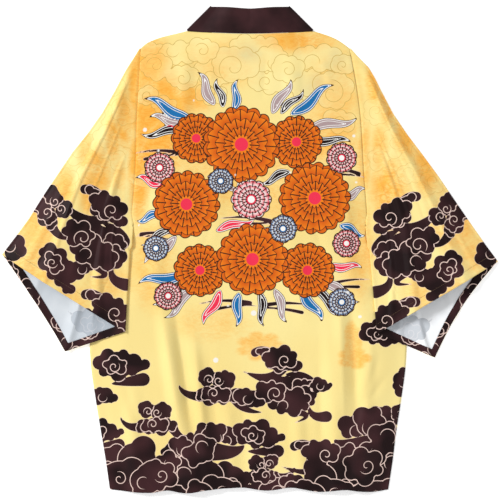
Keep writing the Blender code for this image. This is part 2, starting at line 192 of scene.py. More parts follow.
# A fold is a ridge from its start to its end, or a trough where its height is below zero.
# An open end runs out at full height over a hem.
Fold = namedtuple("Fold", "x0 y0 x1 y1 half_width height open_end", defaults=(False,))
BACK_FOLDS = rows(
    Fold,
    (-142, -60, -92, -400, 26, 6.0, True), (-98, -120, -66, -400, 17, 4.2, True),
    (132, -90, 142, -400, 24, 5.5, True), (196, -150, 176, -400, 20, 4.0, True),
    (-196, -210, -186, -400, 21, 4.2, True), (8, -240, 18, -400, 26, 3.6, True),
    (-40, -210, -28, -400, 18, 2.6, True), (74, -230, 86, -400, 18, 3.0, True),
    (-104, 352, -112, 170, 19, 2.6), (66, 352, 74, 130, 20, 2.8), (-165, 150, -150, -120, 18, 2.6),
    (158, 120, 168, -80, 18, 2.8), (-30, 190, -80, -20, 26, 2.2), (60, 40, 96, -140, 24, 2.4),
)
BACK_CREASES = rows(
    Fold,
    (-152, -50, -109, -345, 17, 5.0), (-130, -50, -90, -350, 16, -6.0), (-94, -112, -70, -352, 13, 2.8),
    (-70, -150, -52, -330, 12, -1.8), (-214, -190, -172, -330, 15, -2.6), (-236, -214, -214, -372, 12, 1.8),
    (144, -40, 157, -330, 16, 4.6), (164, -40, 179, -320, 16, -5.4), (216, -160, 168, -300, 15, -2.8),
    (184, -262, 232, -196, 13, -2.4), (198, -130, 196, -250, 12, 1.8), (112, -170, 118, -340, 10, -1.4),
    (24, -262, 34, -378, 11, 1.4), (-14, -230, -4, -352, 12, -1.3), (-60, 318, -71, 214, 12, 1.3),
    (28, 330, 20, 236, 12, -1.2), (112, 328, 141, 246, 12, 1.5), (-136, 322, -158, 236, 12, 1.5),
    (-158, 150, -146, -26, 12, 1.6), (-120, 40, -60, -60, 14, -1.2), (-46, 92, -82, -14, 14, -1.2),
    (98, 96, 124, -40, 14, -1.4), (156, 200, 164, -40, 12, 1.8), (0, 30, 42, -96, 14, 1.2),
    (-12, 214, 40, 150, 15, 1.0), (-60, -120, 30, -170, 16, 1.0),
)

# A sleeve's folds, in shares of its length and width. The side of a fold towards the lower fold
# is as wide as the other side times its lean.
SLEEVE_FOLD_PARTS = "along0 across0 along1 across1 half_width height lean"
SleeveFold = namedtuple("SleeveFold", SLEEVE_FOLD_PARTS, defaults=(1.0,))
SLEEVE_FOLDS = {
    "left": rows(
        SleeveFold,
        (0.02, 0.03, 1.00, 0.34, 0.075, 0.8), (0.10, 0.55, 1.00, 0.78, 0.070, 3.0),
        (0.55, 0.10, 1.00, 0.17, 0.050, 2.0),
    ),
    "right": rows(
        SleeveFold,
        (0.02, 0.05, 1.00, 0.27, 0.070, 0.8), (0.08, 0.42, 1.00, 0.70, 0.075, 3.2),
        (0.50, 0.80, 1.00, 0.88, 0.050, 2.0),
    ),
}
SLEEVE_CREASES = {
    "left": rows(
        SleeveFold,
        (-0.10, 0.02, 1.00, 0.355, 0.080, 5.0, 3.0), (-0.10, 0.048, 1.00, 0.382, 0.024, -1.3, 2.4),
        (0.30, 0.62, 0.92, 0.66, 0.050, -1.6), (0.10, 0.26, 0.66, 0.44, 0.040, 1.0),
        (0.42, 0.46, 0.98, 0.50, 0.045, 1.2), (0.16, 0.78, 0.75, 0.90, 0.050, 1.4),
        (0.60, 0.22, 1.00, 0.25, 0.035, -0.9), (0.05, 0.52, 0.55, 0.60, 0.045, 1.0),
    ),
    "right": rows(
        SleeveFold,
        (-0.10, 0.03, 1.00, 0.28, 0.085, 4.2, 3.0), (-0.10, 0.056, 1.00, 0.305, 0.022, -1.1, 2.4),
        (0.26, 0.20, 0.86, 0.40, 0.045, -1.2), (0.08, 0.32, 0.66, 0.48, 0.045, 1.3),
        (0.46, 0.52, 1.00, 0.58, 0.045, 1.2), (0.20, 0.74, 0.80, 0.84, 0.050, -1.3),
        (0.66, 0.12, 1.00, 0.15, 0.030, 0.9), (0.10, 0.62, 0.60, 0.72, 0.045, 1.1),
    ),
}
# Folds in the lower layer, which show inside the open cuff
CUFF_FOLDS = {
    "left": rows(
        SleeveFold,
        (0.62, 0.635, 1.00, 0.640, 0.095, 5.0, 0.55), (0.70, 0.24, 1.00, 0.28, 0.060, 2.2),
        (0.66, 0.74, 1.00, 0.80, 0.060, 2.6),
    ),
    "right": rows(
        SleeveFold,
        (0.60, 0.684, 1.00, 0.676, 0.034, 5.0, 3.0), (0.74, 0.34, 1.00, 0.38, 0.060, 2.2),
        (0.66, 0.80, 1.00, 0.86, 0.055, 2.2),
    ),
}

# Grid sizes, in cells. The back has three counts: left shoulder, neck and right shoulder.
BACK_COLUMNS = (27, 98, 24)
BACK_ROWS = 310
FRONT_COLUMNS = 40
FRONT_ROWS = 170
SLEEVE_RINGS = 144
SLEEVE_LAYER_CELLS = 108
SLEEVE_TURN_CELLS = 6
BAND_BACK_CELLS = 60
BAND_TURN_CELLS = 12
BAND_SLANT_CELLS = 14
BAND_LEG_CELLS = 90
BAND_ACROSS_CELLS = 10

# The hems: their thickness as a share of the cloth's, their cells, the gap between the lower ones
# and the cloth, and how many cells the back's leaves free at each end. A front's leaves half as
# many free at its left.
HEM_THICKNESS = 0.75
CUFF_HEM_CELLS = 8
LOWER_HEM_CELLS = 5
LOWER_HEM_GAP = 0.05
HEM_MARGIN = 8

# Where the rings start that a cuff's hem and stitches are measured on, and how many there are
CUFF_START = 0.82
CUFF_RINGS = 61

# The stitches: the thread's radius, how far its middle rises over the cloth, and the gap between
# two. Of three rings in from the hem's inner edge, the middle one is where the row lies.
THREAD_RADIUS = 0.2
THREAD_RISE = 0.02
STITCH_GAP = 0.7
STITCH_SIDES = 6
STITCH_RINGS = np.array([2.0, 0.6, -0.8])

# The collar band's rounded edge, and how near two points are to be joined, in metres
SOFT_EDGE = 0.0006
SOFT_EDGE_SEGMENTS = 3
SOFT_EDGE_ANGLE = math.radians(50)
WELD = 0.00001

# The print. A puff is a flat round with lobes along its edge, and may have a curl drawn on it.
# A curl of a size below zero is only its outer turn. A wisp is a stroke with a thin start and a
# round end. A puff of a higher layer lies over the lower ones, and the wisps lie under all.
PUFF_PARTS = "layer x y half_width half_height lobes lobe curl_x curl_y curl curl_turn"
Puff = namedtuple("Puff", PUFF_PARTS, defaults=(0, 0, 0, 0))
Wisp = namedtuple("Wisp", "x0 y0 x1 y1 x2 y2 half_width")
Place = namedtuple("Place", "motif x y scale turn flip", defaults=(0, 1))
PlacedPuff = namedtuple("PlacedPuff", "puff turn flip dark", defaults=(0.0, 1.0, 0.0))
LAYERS = (1, 2, 3, 4)
PUFF_MIDDLE = 0.3
LOBE_INSET = 0.34
LOBE_START = 0.35
LOBE_SIZE = 0.9
LOBE_VARIETY = 0.22
LOBE_BEAT = 2.4
STROKE_POINTS = 15
STROKE_TAPER = 0.75

# How deep a point that is far from a form counts as, and how far round a form points are looked at
FAR = -30.0
NEARBY = 10.0
STROKE_NEARBY = 6.0

# Each motif has its puffs and its wisps.
MOTIFS = {
    "sweep": (
        rows(
            Puff,
            (1, -31, 15, 11, 4, 3, 8.5), (1, 10, -13, 29, 8, 5, 9),
            (2, 0, 3, 28, 18, 7, 10.5, 9, -2, 13, 150),
        ),
        rows(Wisp, (-70, -22, -10, -44, 6, -14, 10), (-14, 18, -34, 24, -46, 13, 8)),
    ),
    "stack": (
        rows(
            Puff,
            (2, -15, 20, 12, 11, 6, 9, -12, 15, 9, 40), (3, 14, 15, 15, 13, 6, 9, 5, 13, 9, 200),
            (1, 4, -13, 36, 12, 8, 10), (4, 0, -11, 23, 12, 6, 9, -4, -9, 10, 60),
        ),
        rows(Wisp, (-66, 8, -58, -16, -26, -13, 9), (82, -42, 44, -42, 34, -16, 10)),
    ),
    "twin": (
        rows(
            Puff,
            (1, 34, 15, 15, 10, 6, 8.5), (2, 35, -3, 18, 14, 6, 9, 30, 0, 8, 20),
            (3, 12, -9, 31, 19, 8, 10.5, 2, -17, -10, 30), (4, -20, 7, 21, 15, 6, 9.5, -12, 3, 13, 100),
        ),
        rows(
            Wisp,
            (-58, 36, -20, 22, 14, 18, 13), (4, 34, 26, 38, 42, 22, 11), (20, -44, 58, -32, 20, -26, 6),
            (42, -12, 44, -40, 72, -34, 9),
        ),
    ),
    "round": (
        rows(
            Puff,
            (2, -6, 2, 34, 21, 7, 12), (3, -9, 0, 18, 12, 5, 8.5, -11, -2, 10, 240),
            (2, 28, 0, 20, 6, 3, 8.5),
        ),
        rows(Wisp, (-16, -31, 4, -28, 38, -23, 11)),
    ),
    "knot": (
        rows(
            Puff,
            (2, -4, 2, 36, 21, 8, 12), (3, -9, 0, 18, 12, 5, 8.5, -11, -2, 10, 240),
            (2, 34, -10, 17, 8, 4, 9),
        ),
        [],
    ),
    "scrap": (rows(Puff, (2, 0, 0, 13, 9, 5, 9, 2, -2, -8, 200), (2, 13, -4, 12, 4, 3, 6)), []),
    "flame": (
        rows(
            Puff,
            (2, 4, 16, 15, 12, 4, 11, 4, 6, -11, 250), (1, 28, 10, 11, 10, 4, 9.5, 22, 2, -9, 300),
            (3, -12, -8, 16, 18, 4, 11, -14, -6, -12, 90), (1, -12, 18, 10, 10, 4, 8.5),
        ),
        rows(Wisp, (50, -4, 40, -18, 4, -14, 14), (-6, -40, -24, -20, -14, 0, 14)),
    ),
    "swell": (
        rows(
            Puff,
            (1, -24, 8, 30, 26, 2, 19, -26, 0, -13, 60), (2, 20, 14, 32, 28, 2, 20, 16, 4, -14, 210),
            (3, -6, -14, 33, 26, 3, 18, -8, -18, 12, 320), (4, 36, -20, 27, 23, 2, 17, 32, -22, -12, 130),
        ),
        [],
    ),
    "wave": (
        rows(
            Puff,
            (2, -22, -4, 34, 22, 5, 15, -24, -6, -15, 30), (4, 20, -8, 28, 23, 6, 13, 14, -8, 13, 180),
            (3, 2, 14, 19, 15, 5, 11, 0, 12, -9, 250), (1, 44, 4, 26, 20, 5, 13, 44, 0, -11, 120),
        ),
        [],
    ),
    "streak": ([], rows(Wisp, (-52, 2, -8, 10, 34, -2, 3.4), (46, -8, 14, -2, -30, -9, 2.8))),
    "base": (rows(Puff, (1, 0, 0, 74, 20, 9, 13, -30, 4, -12, 40)), []),
}
# Dark streaks behind the picture on the back
BACK_STREAKS = rows(
    Place,
    ("streak", -146, 158, 0.9, 4), ("streak", -152, 24, 0.8, -6, -1), ("streak", 148, 128, 0.9, -4),
    ("streak", 150, -56, 0.9, 6, -1), ("streak", 0, 48, 1.0), ("streak", -34, -88, 1.0, 4),
    ("streak", 56, -92, 1.0, -4, -1),
)
# The clouds of the back and the fronts
BACK_CLOUDS = rows(
    Place,
    ("round", -212, -190, 0.98), ("scrap", -245, -240, 1.1), ("stack", -156, -278, 0.86, 2),
    ("round", -246, -300, 0.84), ("stack", -56, -227, 0.93), ("scrap", -6, -242, 1.2, -8),
    ("sweep", 49, -180, 0.88), ("twin", 53, -239, 1.0), ("scrap", 112, -222, 0.9, 10),
    ("round", 14, -304, 0.92, -8), ("flame", -62, -316, 1.05), ("knot", 218, -137, 0.85),
    ("scrap", 248, -222, 1.1, 90), ("scrap", 244, -268, 0.9, 60, -1), ("sweep", 116, -334, 0.94),
    ("flame", 204, -300, 1.35, 4, -1), ("swell", -206, -358, 1.0), ("wave", -132, -362, 0.94, 0, -1),
    ("flame", -104, -332, 0.95, 20, -1), ("swell", -52, -382, 0.84, 0, -1),
    ("stack", 22, -362, 0.78, 0, -1), ("wave", 66, -392, 0.80), ("swell", 132, -384, 0.84, 0, -1),
    ("wave", 206, -346, 1.05, 0, -1), ("swell", 214, -390, 0.95), ("base", -190, -394, 1.0),
    ("base", -60, -398, 1.0, 0, -1), ("base", 60, -400, 1.0), ("base", 170, -394, 1.0, 0, -1),
)
# The left sleeve's clouds and its cuff hem's. The right side's print is their mirror image,
# shifted a little.
SLEEVE_CLOUDS = rows(
    Place,
    ("sweep", -234, 69, 0.96, -24), ("twin", -262, 10, 1.12, -24), ("stack", -327, 68, 0.94, -58, -1),
    ("knot", -314, -28, 0.92, -50), ("scrap", -388, 6, 1.5, -40, -1), ("sweep", -228, -100, 1.0, -18),
    ("scrap", -278, -32, 1.1, 30), ("round", -250, -126, 0.95, -16),
)
HEM_CLOUDS = rows(
    Place,
    ("base", -385, -45, 1.0, -57), ("base", -322, -130, 1.0, -57, -1), ("base", -250, -150, 1.0, 18),
    ("round", -396, -40, 0.6, -57), ("scrap", -362, -66, 1.1, -57), ("scrap", -362, -110, 0.8, 30, -1),
    ("scrap", -314, -122, 0.8, -30), ("scrap", -282, -172, 1.0, 18), ("scrap", -268, -138, 0.8, 18),
    ("scrap", -226, -154, 0.9, 198, -1),
)
RIGHT_PRINT_SHIFT = (2.0, -12.0)
RIGHT_HEM_SHIFT = (0.0, -9.0)
# The pale clouds at the shoulders
PALE_PUFFS = rows(
    Puff,
    (1, -160, 326, 16, 10, 5, 11), (3, -154, 300, 20, 17, 7, 12, -155, 302, 15, 40),
    (2, -118, 322, 26, 15, 6, 13, -128, 326, -12, 200), (4, -78, 326, 22, 15, 7, 12, -78, 326, 13, 10),
    (3, -110, 282, 20, 15, 7, 12, -110, 280, 14, 300), (2, -58, 292, 26, 20, 7, 13, -64, 282, -14, 120),
    (3, -24, 304, 32, 22, 9, 15, -28, 298, 24, 90), (1, 6, 334, 34, 12, 7, 12),
    (2, 34, 312, 24, 16, 7, 13, 38, 306, -13, 220), (4, 62, 296, 22, 16, 7, 13, 62, 294, 14),
    (1, 30, 274, 26, 14, 7, 12, 26, 274, 13, 150), (2, 112, 314, 32, 16, 7, 15, 104, 306, -16, 60),
    (1, 96, 268, 26, 22, 7, 14, 92, 262, -15, 250), (3, 136, 262, 26, 24, 8, 15, 134, 256, 22, 320),
    (4, 152, 304, 14, 12, 6, 11, 152, 302, 10, 130), (3, -168, 252, 13, 12, 6, 10, -168, 252, 11, 180),
    (2, 146, 210, 22, 14, 6, 12, 148, 208, 12, 80), (1, -64, 254, 22, 12, 6, 11, -66, 256, 11, 350),
    (1, -140, 236, 18, 10, 5, 10),
)
# The left sleeve's pale clouds. The right sleeve has their mirror image.
SLEEVE_PALE_PUFFS = rows(
    Puff,
    (1, -222, 262, 13, 20, 5, 11, -224, 262, -12, 200), (2, -206, 226, 15, 18, 6, 11, -206, 226, 13, 40),
    (1, -256, 214, 13, 20, 5, 11, -256, 214, 12, 120), (3, -238, 176, 18, 20, 6, 12, -238, 176, 15, 300),
    (2, -212, 150, 14, 16, 5, 11, -212, 152, -12, 60), (1, -284, 160, 14, 18, 5, 11, -284, 160, -12, 250),
    (2, -300, 112, 15, 18, 5, 11, -300, 112, 13, 20), (1, -262, 124, 15, 13, 5, 11, -260, 124, -11, 150),
)

# Where the ground is washed with orange: mostly the print's orange wash, and also painted shade in orange
# along the armhole seams and beside each sleeve's main ridge, on its side turned away from the key light. A
# patch with petals has notches round its edge.
Patch = namedtuple("Patch", "x y half_width half_height strength petals", defaults=(0,))
WASH_REACH = 1.25
WASH_FALL = 0.8
PETAL_WASH_FALL = 2.6
PETAL_WASH_NOTCH = 0.34
WASH_AND_SHADE_PATCHES = rows(
    Patch,
    (-146, 206, 48, 84, 1.15), (-164, 306, 30, 44, 1.0), (76, 342, 60, 20, 0.9), (138, 262, 44, 70, 0.5),
    (-40, 306, 70, 40, 0.4), (-96, 250, 36, 24, 0.8), (128, 186, 50, 46, 0.7), (176, 10, 26, 90, 0.5),
    (-160, -20, 36, 70, 0.5), (-60, 110, 70, 60, 0.45), (60, 110, 80, 70, 0.45),
    (16, -158, 40, 24, 0.55, 7), (168, -150, 16, 34, 0.55, 3), (170, -178, 28, 18, 0.6, 5),
    # (-182, 128), (-170, 170) and (186, 150) are painted shadow along the armhole seams.
    (-182, 128, 16, 76, 1.1), (-170, 170, 20, 50, 1.0), (186, 150, 12, 70, 0.6), (-60, -120, 60, 30, 0.35),
    # (-188, 268), (-206, 210), (-224, 178), (-248, 130) and (-262, 92) lie on the shaded side of the left
    # sleeve's main ridge: partly the print's wash, partly painted shade.
    (-188, 268, 12, 50, 0.9), (-206, 210, 14, 50, 0.85), (-224, 178, 12, 40, 0.8),
    (-248, 130, 20, 40, 0.85), (-262, 92, 16, 40, 0.7), (-270, 162, 12, 34, 0.55), (-304, 100, 18, 34, 0.7),
    (-214, 120, 12, 40, 0.45), (-348, 40, 38, 50, 0.55), (-352, -24, 40, 40, 0.65),
    # (204, 282), (226, 248), (256, 196) and (290, 140) lie on the shaded side of the right sleeve's main
    # ridge: partly the print's wash, partly painted shade.
    (-228, -56, 42, 26, 0.4), (-290, -84, 26, 26, 0.5), (204, 282, 14, 44, 1.0), (226, 248, 16, 42, 1.1),
    (256, 196, 20, 46, 1.05), (290, 140, 22, 46, 0.95), (228, 98, 28, 46, 1.0), (212, 162, 14, 40, 0.6),
    (318, 88, 14, 30, 0.35), (334, 44, 40, 44, 0.7), (232, 14, 26, 36, 0.35), (300, -64, 50, 40, 0.5),
    (374, -10, 34, 34, 0.55),
)

# The picture on the back: rounds of petals with leaves between them
BLOOM_LAYERS = (1, 2, 3)
Bloom = namedtuple("Bloom", "x y radius petals turn layer hue")
BLOOMS = rows(
    Bloom,
    (-14, 172, 64, 18, 8, 2, 0.0), (-104, 74, 56, 16, 20, 2, 0.0), (106, 84, 60, 18, 3, 2, 0.0),
    (4, -16, 60, 16, 12, 2, 0.0), (-88, 182, 42, 14, 0, 1, 0.0), (76, 176, 44, 14, 30, 1, 0.0),
    (-82, -34, 44, 14, 15, 1, 0.0), (94, -34, 46, 14, 5, 1, 0.0), (2, 82, 34, 12, 0, 3, 0.35),
    (150, 150, 26, 10, 12, 3, 0.35), (-148, 134, 26, 10, 25, 1, 0.35), (54, 34, 24, 8, 5, 3, 0.7),
    (-48, 112, 22, 8, 18, 3, 0.7), (-134, -76, 24, 10, 8, 1, 0.35), (150, -86, 24, 10, 0, 3, 0.7),
    (158, 10, 24, 10, 0, 1, 0.35), (-154, 2, 22, 8, 4, 1, 0.7),
)
Leaf = namedtuple("Leaf", "x y angle length bend half_width hue")
LEAVES = rows(
    Leaf,
    (-96, 214, 158, 86, 9, 10, 0.0), (-104, 196, 184, 78, -8, 8, 0.9), (-106, 206, 171, 62, 8, 8, 0.3),
    (-58, 236, 118, 62, 8, 9, 0.3), (-44, 232, 100, 50, -7, 7, 0.9), (-26, 226, 82, 54, -7, 8, 0.0),
    (36, 222, 62, 66, 7, 9, 0.3), (50, 222, 48, 56, 7, 7, 0.9), (66, 220, 34, 88, -9, 10, 0.0),
    (92, 196, 14, 88, 8, 9, 0.3), (92, 180, -4, 76, -7, 8, 0.9), (-140, 106, 168, 50, 7, 8, 0.6),
    (-146, 60, 196, 44, -6, 8, 0.0), (-120, 22, 222, 72, 8, 9, 0.3), (-128, 34, 206, 60, -7, 7, 0.9),
    (-104, -40, 192, 82, 8, 10, 0.0), (-96, -54, 208, 76, -8, 8, 0.9), (-90, -62, 224, 72, -8, 9, 0.3),
    (-48, -66, 246, 66, 8, 9, 0.6), (-18, -70, 264, 58, -6, 9, 0.0), (16, -68, 278, 60, 7, 8, 0.9),
    (40, -64, 292, 62, 7, 8, 0.3), (84, -64, 300, 66, -8, 10, 0.0), (102, -60, 316, 70, 8, 8, 0.9),
    (118, -52, 332, 72, 8, 9, 0.3), (128, -26, 354, 58, -7, 8, 0.6), (146, 40, 340, 48, 6, 8, 0.0),
    (150, 84, 20, 44, -6, 8, 0.3), (-56, 30, 20, 70, 8, 8, 0.6), (62, 22, 162, 60, -7, 8, 0.0),
    (-70, 120, 340, 60, 7, 8, 0.3), (66, 128, 200, 54, -7, 8, 0.9), (-20, 110, 300, 44, 6, 7, 0.9),
)
Spark = namedtuple("Spark", "x y radius")
SPARKS = rows(
    Spark,
    (-172, 196, 3.6), (-150, 162, 2.4), (170, 186, 2.6), (6, -104, 4.6), (160, -70, 2.8), (-92, 244, 1.8),
    (44, 236, 1.6), (-182, 40, 2.0), (174, 110, 2.0), (-36, -92, 2.2), (-56, -181, 4.4), (112, -98, 2.0),
    (-24, 122, 1.8), (66, 126, 1.8), (-138, 16, 1.6), (180, -110, 3.0),
)

# The lines of the print, in millimetres, and how strong the pale rim of a dark cloud is
DARK_LINE = 1.35
PALE_LINE = 1.0
RIM_LINE = 0.7
RIM_STRENGTH = 0.6

# A curl, in shares of its size: how far its turns are from each other, where it starts, also as
# one outer turn, and how far out it is drawn
CURL_PITCH = 0.74
CURL_START = 0.18
HOOK_START = 0.62
CURL_REACH = 1.02

# The petals: their line in millimetres, how many a ring has, where each ring starts and how far it
# is turned, how far a petal bulges and is shaded, and how deep the notches of the round's rim are
PETAL_LINE = 1.8
PETAL_COUNT = 15
PETAL_RINGS = ((0.17, 0.5), (0.36, 0.0), (0.57, 0.5), (0.79, 0.0))
PETAL_BULGE = 0.14
PETAL_SHADE = 0.24
BLOOM_NOTCH = 0.1

# The colour of a leaf or a bloom whose hue is above a limit, and how deep in a leaf its bands are
LEAF_HUES = ((0.15, "mauve"), (0.45, "pink"), (0.75, "dark"))
PINK_HUE = 0.2
BLUE_HUE = 0.5
LEAF_RIM = 1.0
LEAF_CORE = 2.2
LEAF_VEIN = (4.6, 5.5)

# How soft the edge of a spark is, and how much of what is under it a spark hides
SPARK_SOFTNESS = 0.6
SPARK_STRENGTH = 0.9

# How clearly the pale clouds of a sleeve stand out, against those of the back
SLEEVE_STRENGTH = 0.25

# How light the wrong side of each sleeve is, from the darker of its two colours to the lighter. This is
# painted light and shade: the right cuff, which lies in the shadow of its upper layer, is painted lighter,
# and the left cuff is painted darker.
WRONG_SIDE_PAINTED_LIGHT = {"left": 0.1, "right": 1.1}

# How much of the print, and of its clouds as shadows, shows through on the wrong side
PRINT_THROUGH = 0.13
CLOUDS_THROUGH = 0.5

# The weave and the small unevenness of the cloth, and the twist of the thread, with painted shade in the
# grooves between its plies
WEAVE_SCALE = 900.0
WEAVE_SHARE = 0.03
RIPPLE_HEIGHT = 0.0016
TWIST_SCALE = 700.0
TWIST_HEIGHT = 0.0002
TWIST_SHADE = 0.7

# The stage, with its sizes and places in metres. The camera is a little below the middle, and its
# distance is counted from the top of the cloth.
FLOOR_HALF = 3.0
FLOOR_CELLS = 8
KEY_PLACE = (-1.5, 0.9, 1.1)
FILL_PLACE = (1.0, -1.5, 0.8)
FILL_SOFTNESS = math.radians(50)
CAMERA_SHIFT = -0.0008
CLOTH_TOP = 0.005


# Lines and distances


def smooth_step(value):
    t = np.clip(value, 0.0, 1.0)
    return t * t * (3.0 - 2.0 * t)


def hermite(t, start, leave, end, arrive):
    """The curve from start to end that leaves and arrives in the given directions."""
    return (
        (2 * t**3 - 3 * t**2 + 1) * start
        + (t**3 - 2 * t**2 + t) * leave
        + (3 * t**2 - 2 * t**3) * end
        + (t**3 - t**2) * arrive
    )


def way_along(points):
    """The length of a line of points, from its start to each of them."""
    steps = np.linalg.norm(np.diff(points, axis=0), axis=1)
    return np.concatenate([[0.0], np.cumsum(steps)])


def length_of(points):
    return float(way_along(points)[-1])


def along_points(points, share):
    """Points at the given shares of the way along a line of points, joined smoothly."""
    points = np.array(points, float)
    at = way_along(points) / length_of(points)
    slopes = np.gradient(points, at, axis=0)
    share = np.clip(np.asarray(share, float), 0.0, 1.0)
    k = np.clip(np.searchsorted(at, share, side="right") - 1, 0, len(at) - 2)
    span = (at[k + 1] - at[k])[:, None]
    t = (share - at[k])[:, None] / span
    return hermite(t, points[k], span * slopes[k], points[k + 1], span * slopes[k + 1])


def distance_to_line(x, y, line):
    """The distance from each point to a line of points."""
    best = np.full(np.shape(x), np.inf)
    for (ax, ay), (bx, by) in zip(line[:-1], line[1:]):
        dx, dy = bx - ax, by - ay
        t = np.clip(((x - ax) * dx + (y - ay) * dy) / (dx * dx + dy * dy), 0.0, 1.0)
        best = np.minimum(best, np.hypot(x - ax - t * dx, y - ay - t * dy))
    return best


def along_and_over(dx, dy, degrees):
    """The parts of an offset along a direction and square to it."""
    cosine, sine = math.cos(math.radians(degrees)), math.sin(math.radians(degrees))
    return dx * cosine + dy * sine, dy * cosine - dx * sine


def coons(top, bottom, left, right, u, v):
    """The grid of points inside four edges.

    top and bottom have a point for each u, left and right one for each v.
    """
    u, v = u[None, :, None], v[:, None, None]
    across = (1 - v) * top[None] + v * bottom[None]
    down = (1 - u) * left[:, None] + u * right[:, None]
    corners = (1 - u) * (1 - v) * top[0] + u * (1 - v) * top[-1]
    corners = corners + (1 - u) * v * bottom[0] + u * v * bottom[-1]
    return across + down - corners


def with_level(grid, level):
    return np.concatenate([grid, np.asarray(level)[..., None]], axis=2)


# The edges and seams


def edge_line(rows, side):
    return [(getattr(row, side), row.height) for row in rows]


def underarm_ease(y):
    """How far the armhole's edge draws in at each height, near the underarm."""
    return UNDERARM_EASE * smooth_step(1.0 - (y - ARMHOLE[-1].height) / UNDERARM_EASE_REACH)


def side_edge(side, share):
    """The back's edge from the shoulder tip to the hem: the armhole, then the side seam."""
    armhole = edge_line(ARMHOLE, side)
    seam = edge_line(SIDE, side)
    armhole_length = length_of(armhole)
    part = armhole_length / (armhole_length + length_of(seam))
    upper = along_points(armhole, share / part)
    upper[:, 0] -= np.sign(upper[:, 0]) * underarm_ease(upper[:, 1])
    lower = along_points(seam, (share - part) / (1.0 - part))
    return np.where((share <= part)[:, None], upper, lower)


def side_seam(side, count):
    """The side seam, from the underarm down, as a line of points."""
    return along_points(edge_line(SIDE, side), np.linspace(0.0, 1.0, count))


def seam_x(seam, y):
    """Where a side seam is at each height."""
    return np.interp(y, seam[::-1, 1], seam[::-1, 0])


def neck_edge(x):
    """Height of the back's neckline at x."""
    fullness = np.cos(0.5 * math.pi * np.asarray(x) / NECK_HALF) ** NECK_FULLNESS
    return NECK_TOP - NECK_DIP * fullness


def seam_lines():
    """The seams that hold the back down on the fronts."""
    fine = np.linspace(0.0, 1.0, SEAM_POINTS)
    left = np.concatenate([along_points(LEFT_SHOULDER, fine)[::-1], side_edge("left", fine)[1:]])
    right = np.concatenate([along_points(RIGHT_SHOULDER, fine), side_edge("right", fine)[1:]])
    return left, right


SEAMS = seam_lines()


# The folds


def crease_depth():
    return bpy.context.scene.robe_cloth.crease_depth


def crest(share, sharp):
    """The height of a ridge at a share of its half width: rounded, or with a sharp top."""
    share = np.clip(share, 0.0, 1.0)
    if sharp:
        return (1.0 - np.sqrt(share**2 + SHARPNESS) + SHARPNESS * share).clip(0.0) ** STEEPNESS
    return np.cos(0.5 * math.pi * share) ** 2


def rise_and_fall(share, fade, open_end):
    """How far a fold has risen at a share of its length. It falls again before a closed end."""
    risen = smooth_step(share / fade)
    return risen if open_end else risen * smooth_step((1.0 - share) / fade)


def fold_height(x, y, folds, sharp=False):
    """What the ridges and troughs add at each point."""
    height = np.zeros(np.shape(x))
    for fold in folds:
        dx, dy = fold.x1 - fold.x0, fold.y1 - fold.y0
        share = ((x - fold.x0) * dx + (y - fold.y0) * dy) / (dx * dx + dy * dy)
        away = np.abs((x - fold.x0) * dy - (y - fold.y0) * dx) / math.hypot(dx, dy)
        ridge = crest(away / fold.half_width, sharp)
        height = height + fold.height * ridge * rise_and_fall(share, FOLD_FADE, fold.open_end)
    return height


def sleeve_ridges(along, across, folds, sharp=False):
    """What the folds add to a sleeve layer's height."""
    a, c = along[:, None], across[None, :]
    height = np.zeros((len(along), len(across)))
    for fold in folds:
        share = (a - fold.along0) / (fold.along1 - fold.along0)
        line = fold.across0 + share * (fold.across1 - fold.across0)
        ridge = crest(np.maximum(line - c, (c - line) / fold.lean) / fold.half_width, sharp)
        risen = rise_and_fall(share, SLEEVE_FOLD_FADE, fold.along1 >= 1.0)
        height = height + fold.height * ridge * risen * smooth_step(c / FOLD_MARGIN)
    return height


# The back and the fronts


def armhole_loft(y):
    """How far the back's edge stands off the front's, where the arm goes through."""
    share = (np.asarray(y) - ARMHOLE[-1].height) / (ARMHOLE[0].height - ARMHOLE[-1].height)
    return ARM_LOFT * rise_and_fall(share, ARM_LOFT_FADE, False)


def back_level(x, y):
    """Height of the middle of the back's wall at each point."""
    seam = np.minimum(distance_to_line(x, y, SEAMS[0]), distance_to_line(x, y, SEAMS[1]))
    free = smooth_step(seam / LOFT_REACH)
    neck_point = np.hypot(np.abs(x) - NECK_HALF, y - NECK_TOP)
    rise = NECK_POINT_RISE * smooth_step(1.0 - neck_point / NECK_POINT_REACH)
    loft = free * LOFT + (1.0 - free) * armhole_loft(y)
    tuck = TUCK * smooth_step(1.0 - seam / TUCK_REACH)
    folds = fold_height(x, y, BACK_FOLDS)
    folds = folds + crease_depth() * fold_height(x, y, BACK_CREASES, sharp=True)
    return SEAM_LEVEL + rise + loft + free * folds - tuck


def back_grid(v=None):
    left, middle, right = BACK_COLUMNS
    neck_x = np.linspace(-NECK_HALF, NECK_HALF, middle + 1)
    neck = np.stack([neck_x, neck_edge(neck_x)], axis=1)
    left_shoulder = along_points(LEFT_SHOULDER, np.linspace(0.0, 1.0, left + 1))
    right_shoulder = along_points(RIGHT_SHOULDER, np.linspace(0.0, 1.0, right + 1))
    top = np.concatenate([left_shoulder[:-1], neck, right_shoulder[1:]])
    u = (top[:, 0] - top[0, 0]) / (top[-1, 0] - top[0, 0])
    v = np.linspace(0.0, 1.0, BACK_ROWS + 1) if v is None else v
    grid = coons(top, along_points(HEM, u), side_edge("left", v), side_edge("right", v), u, v)
    return with_level(grid, back_level(grid[..., 0], grid[..., 1]))


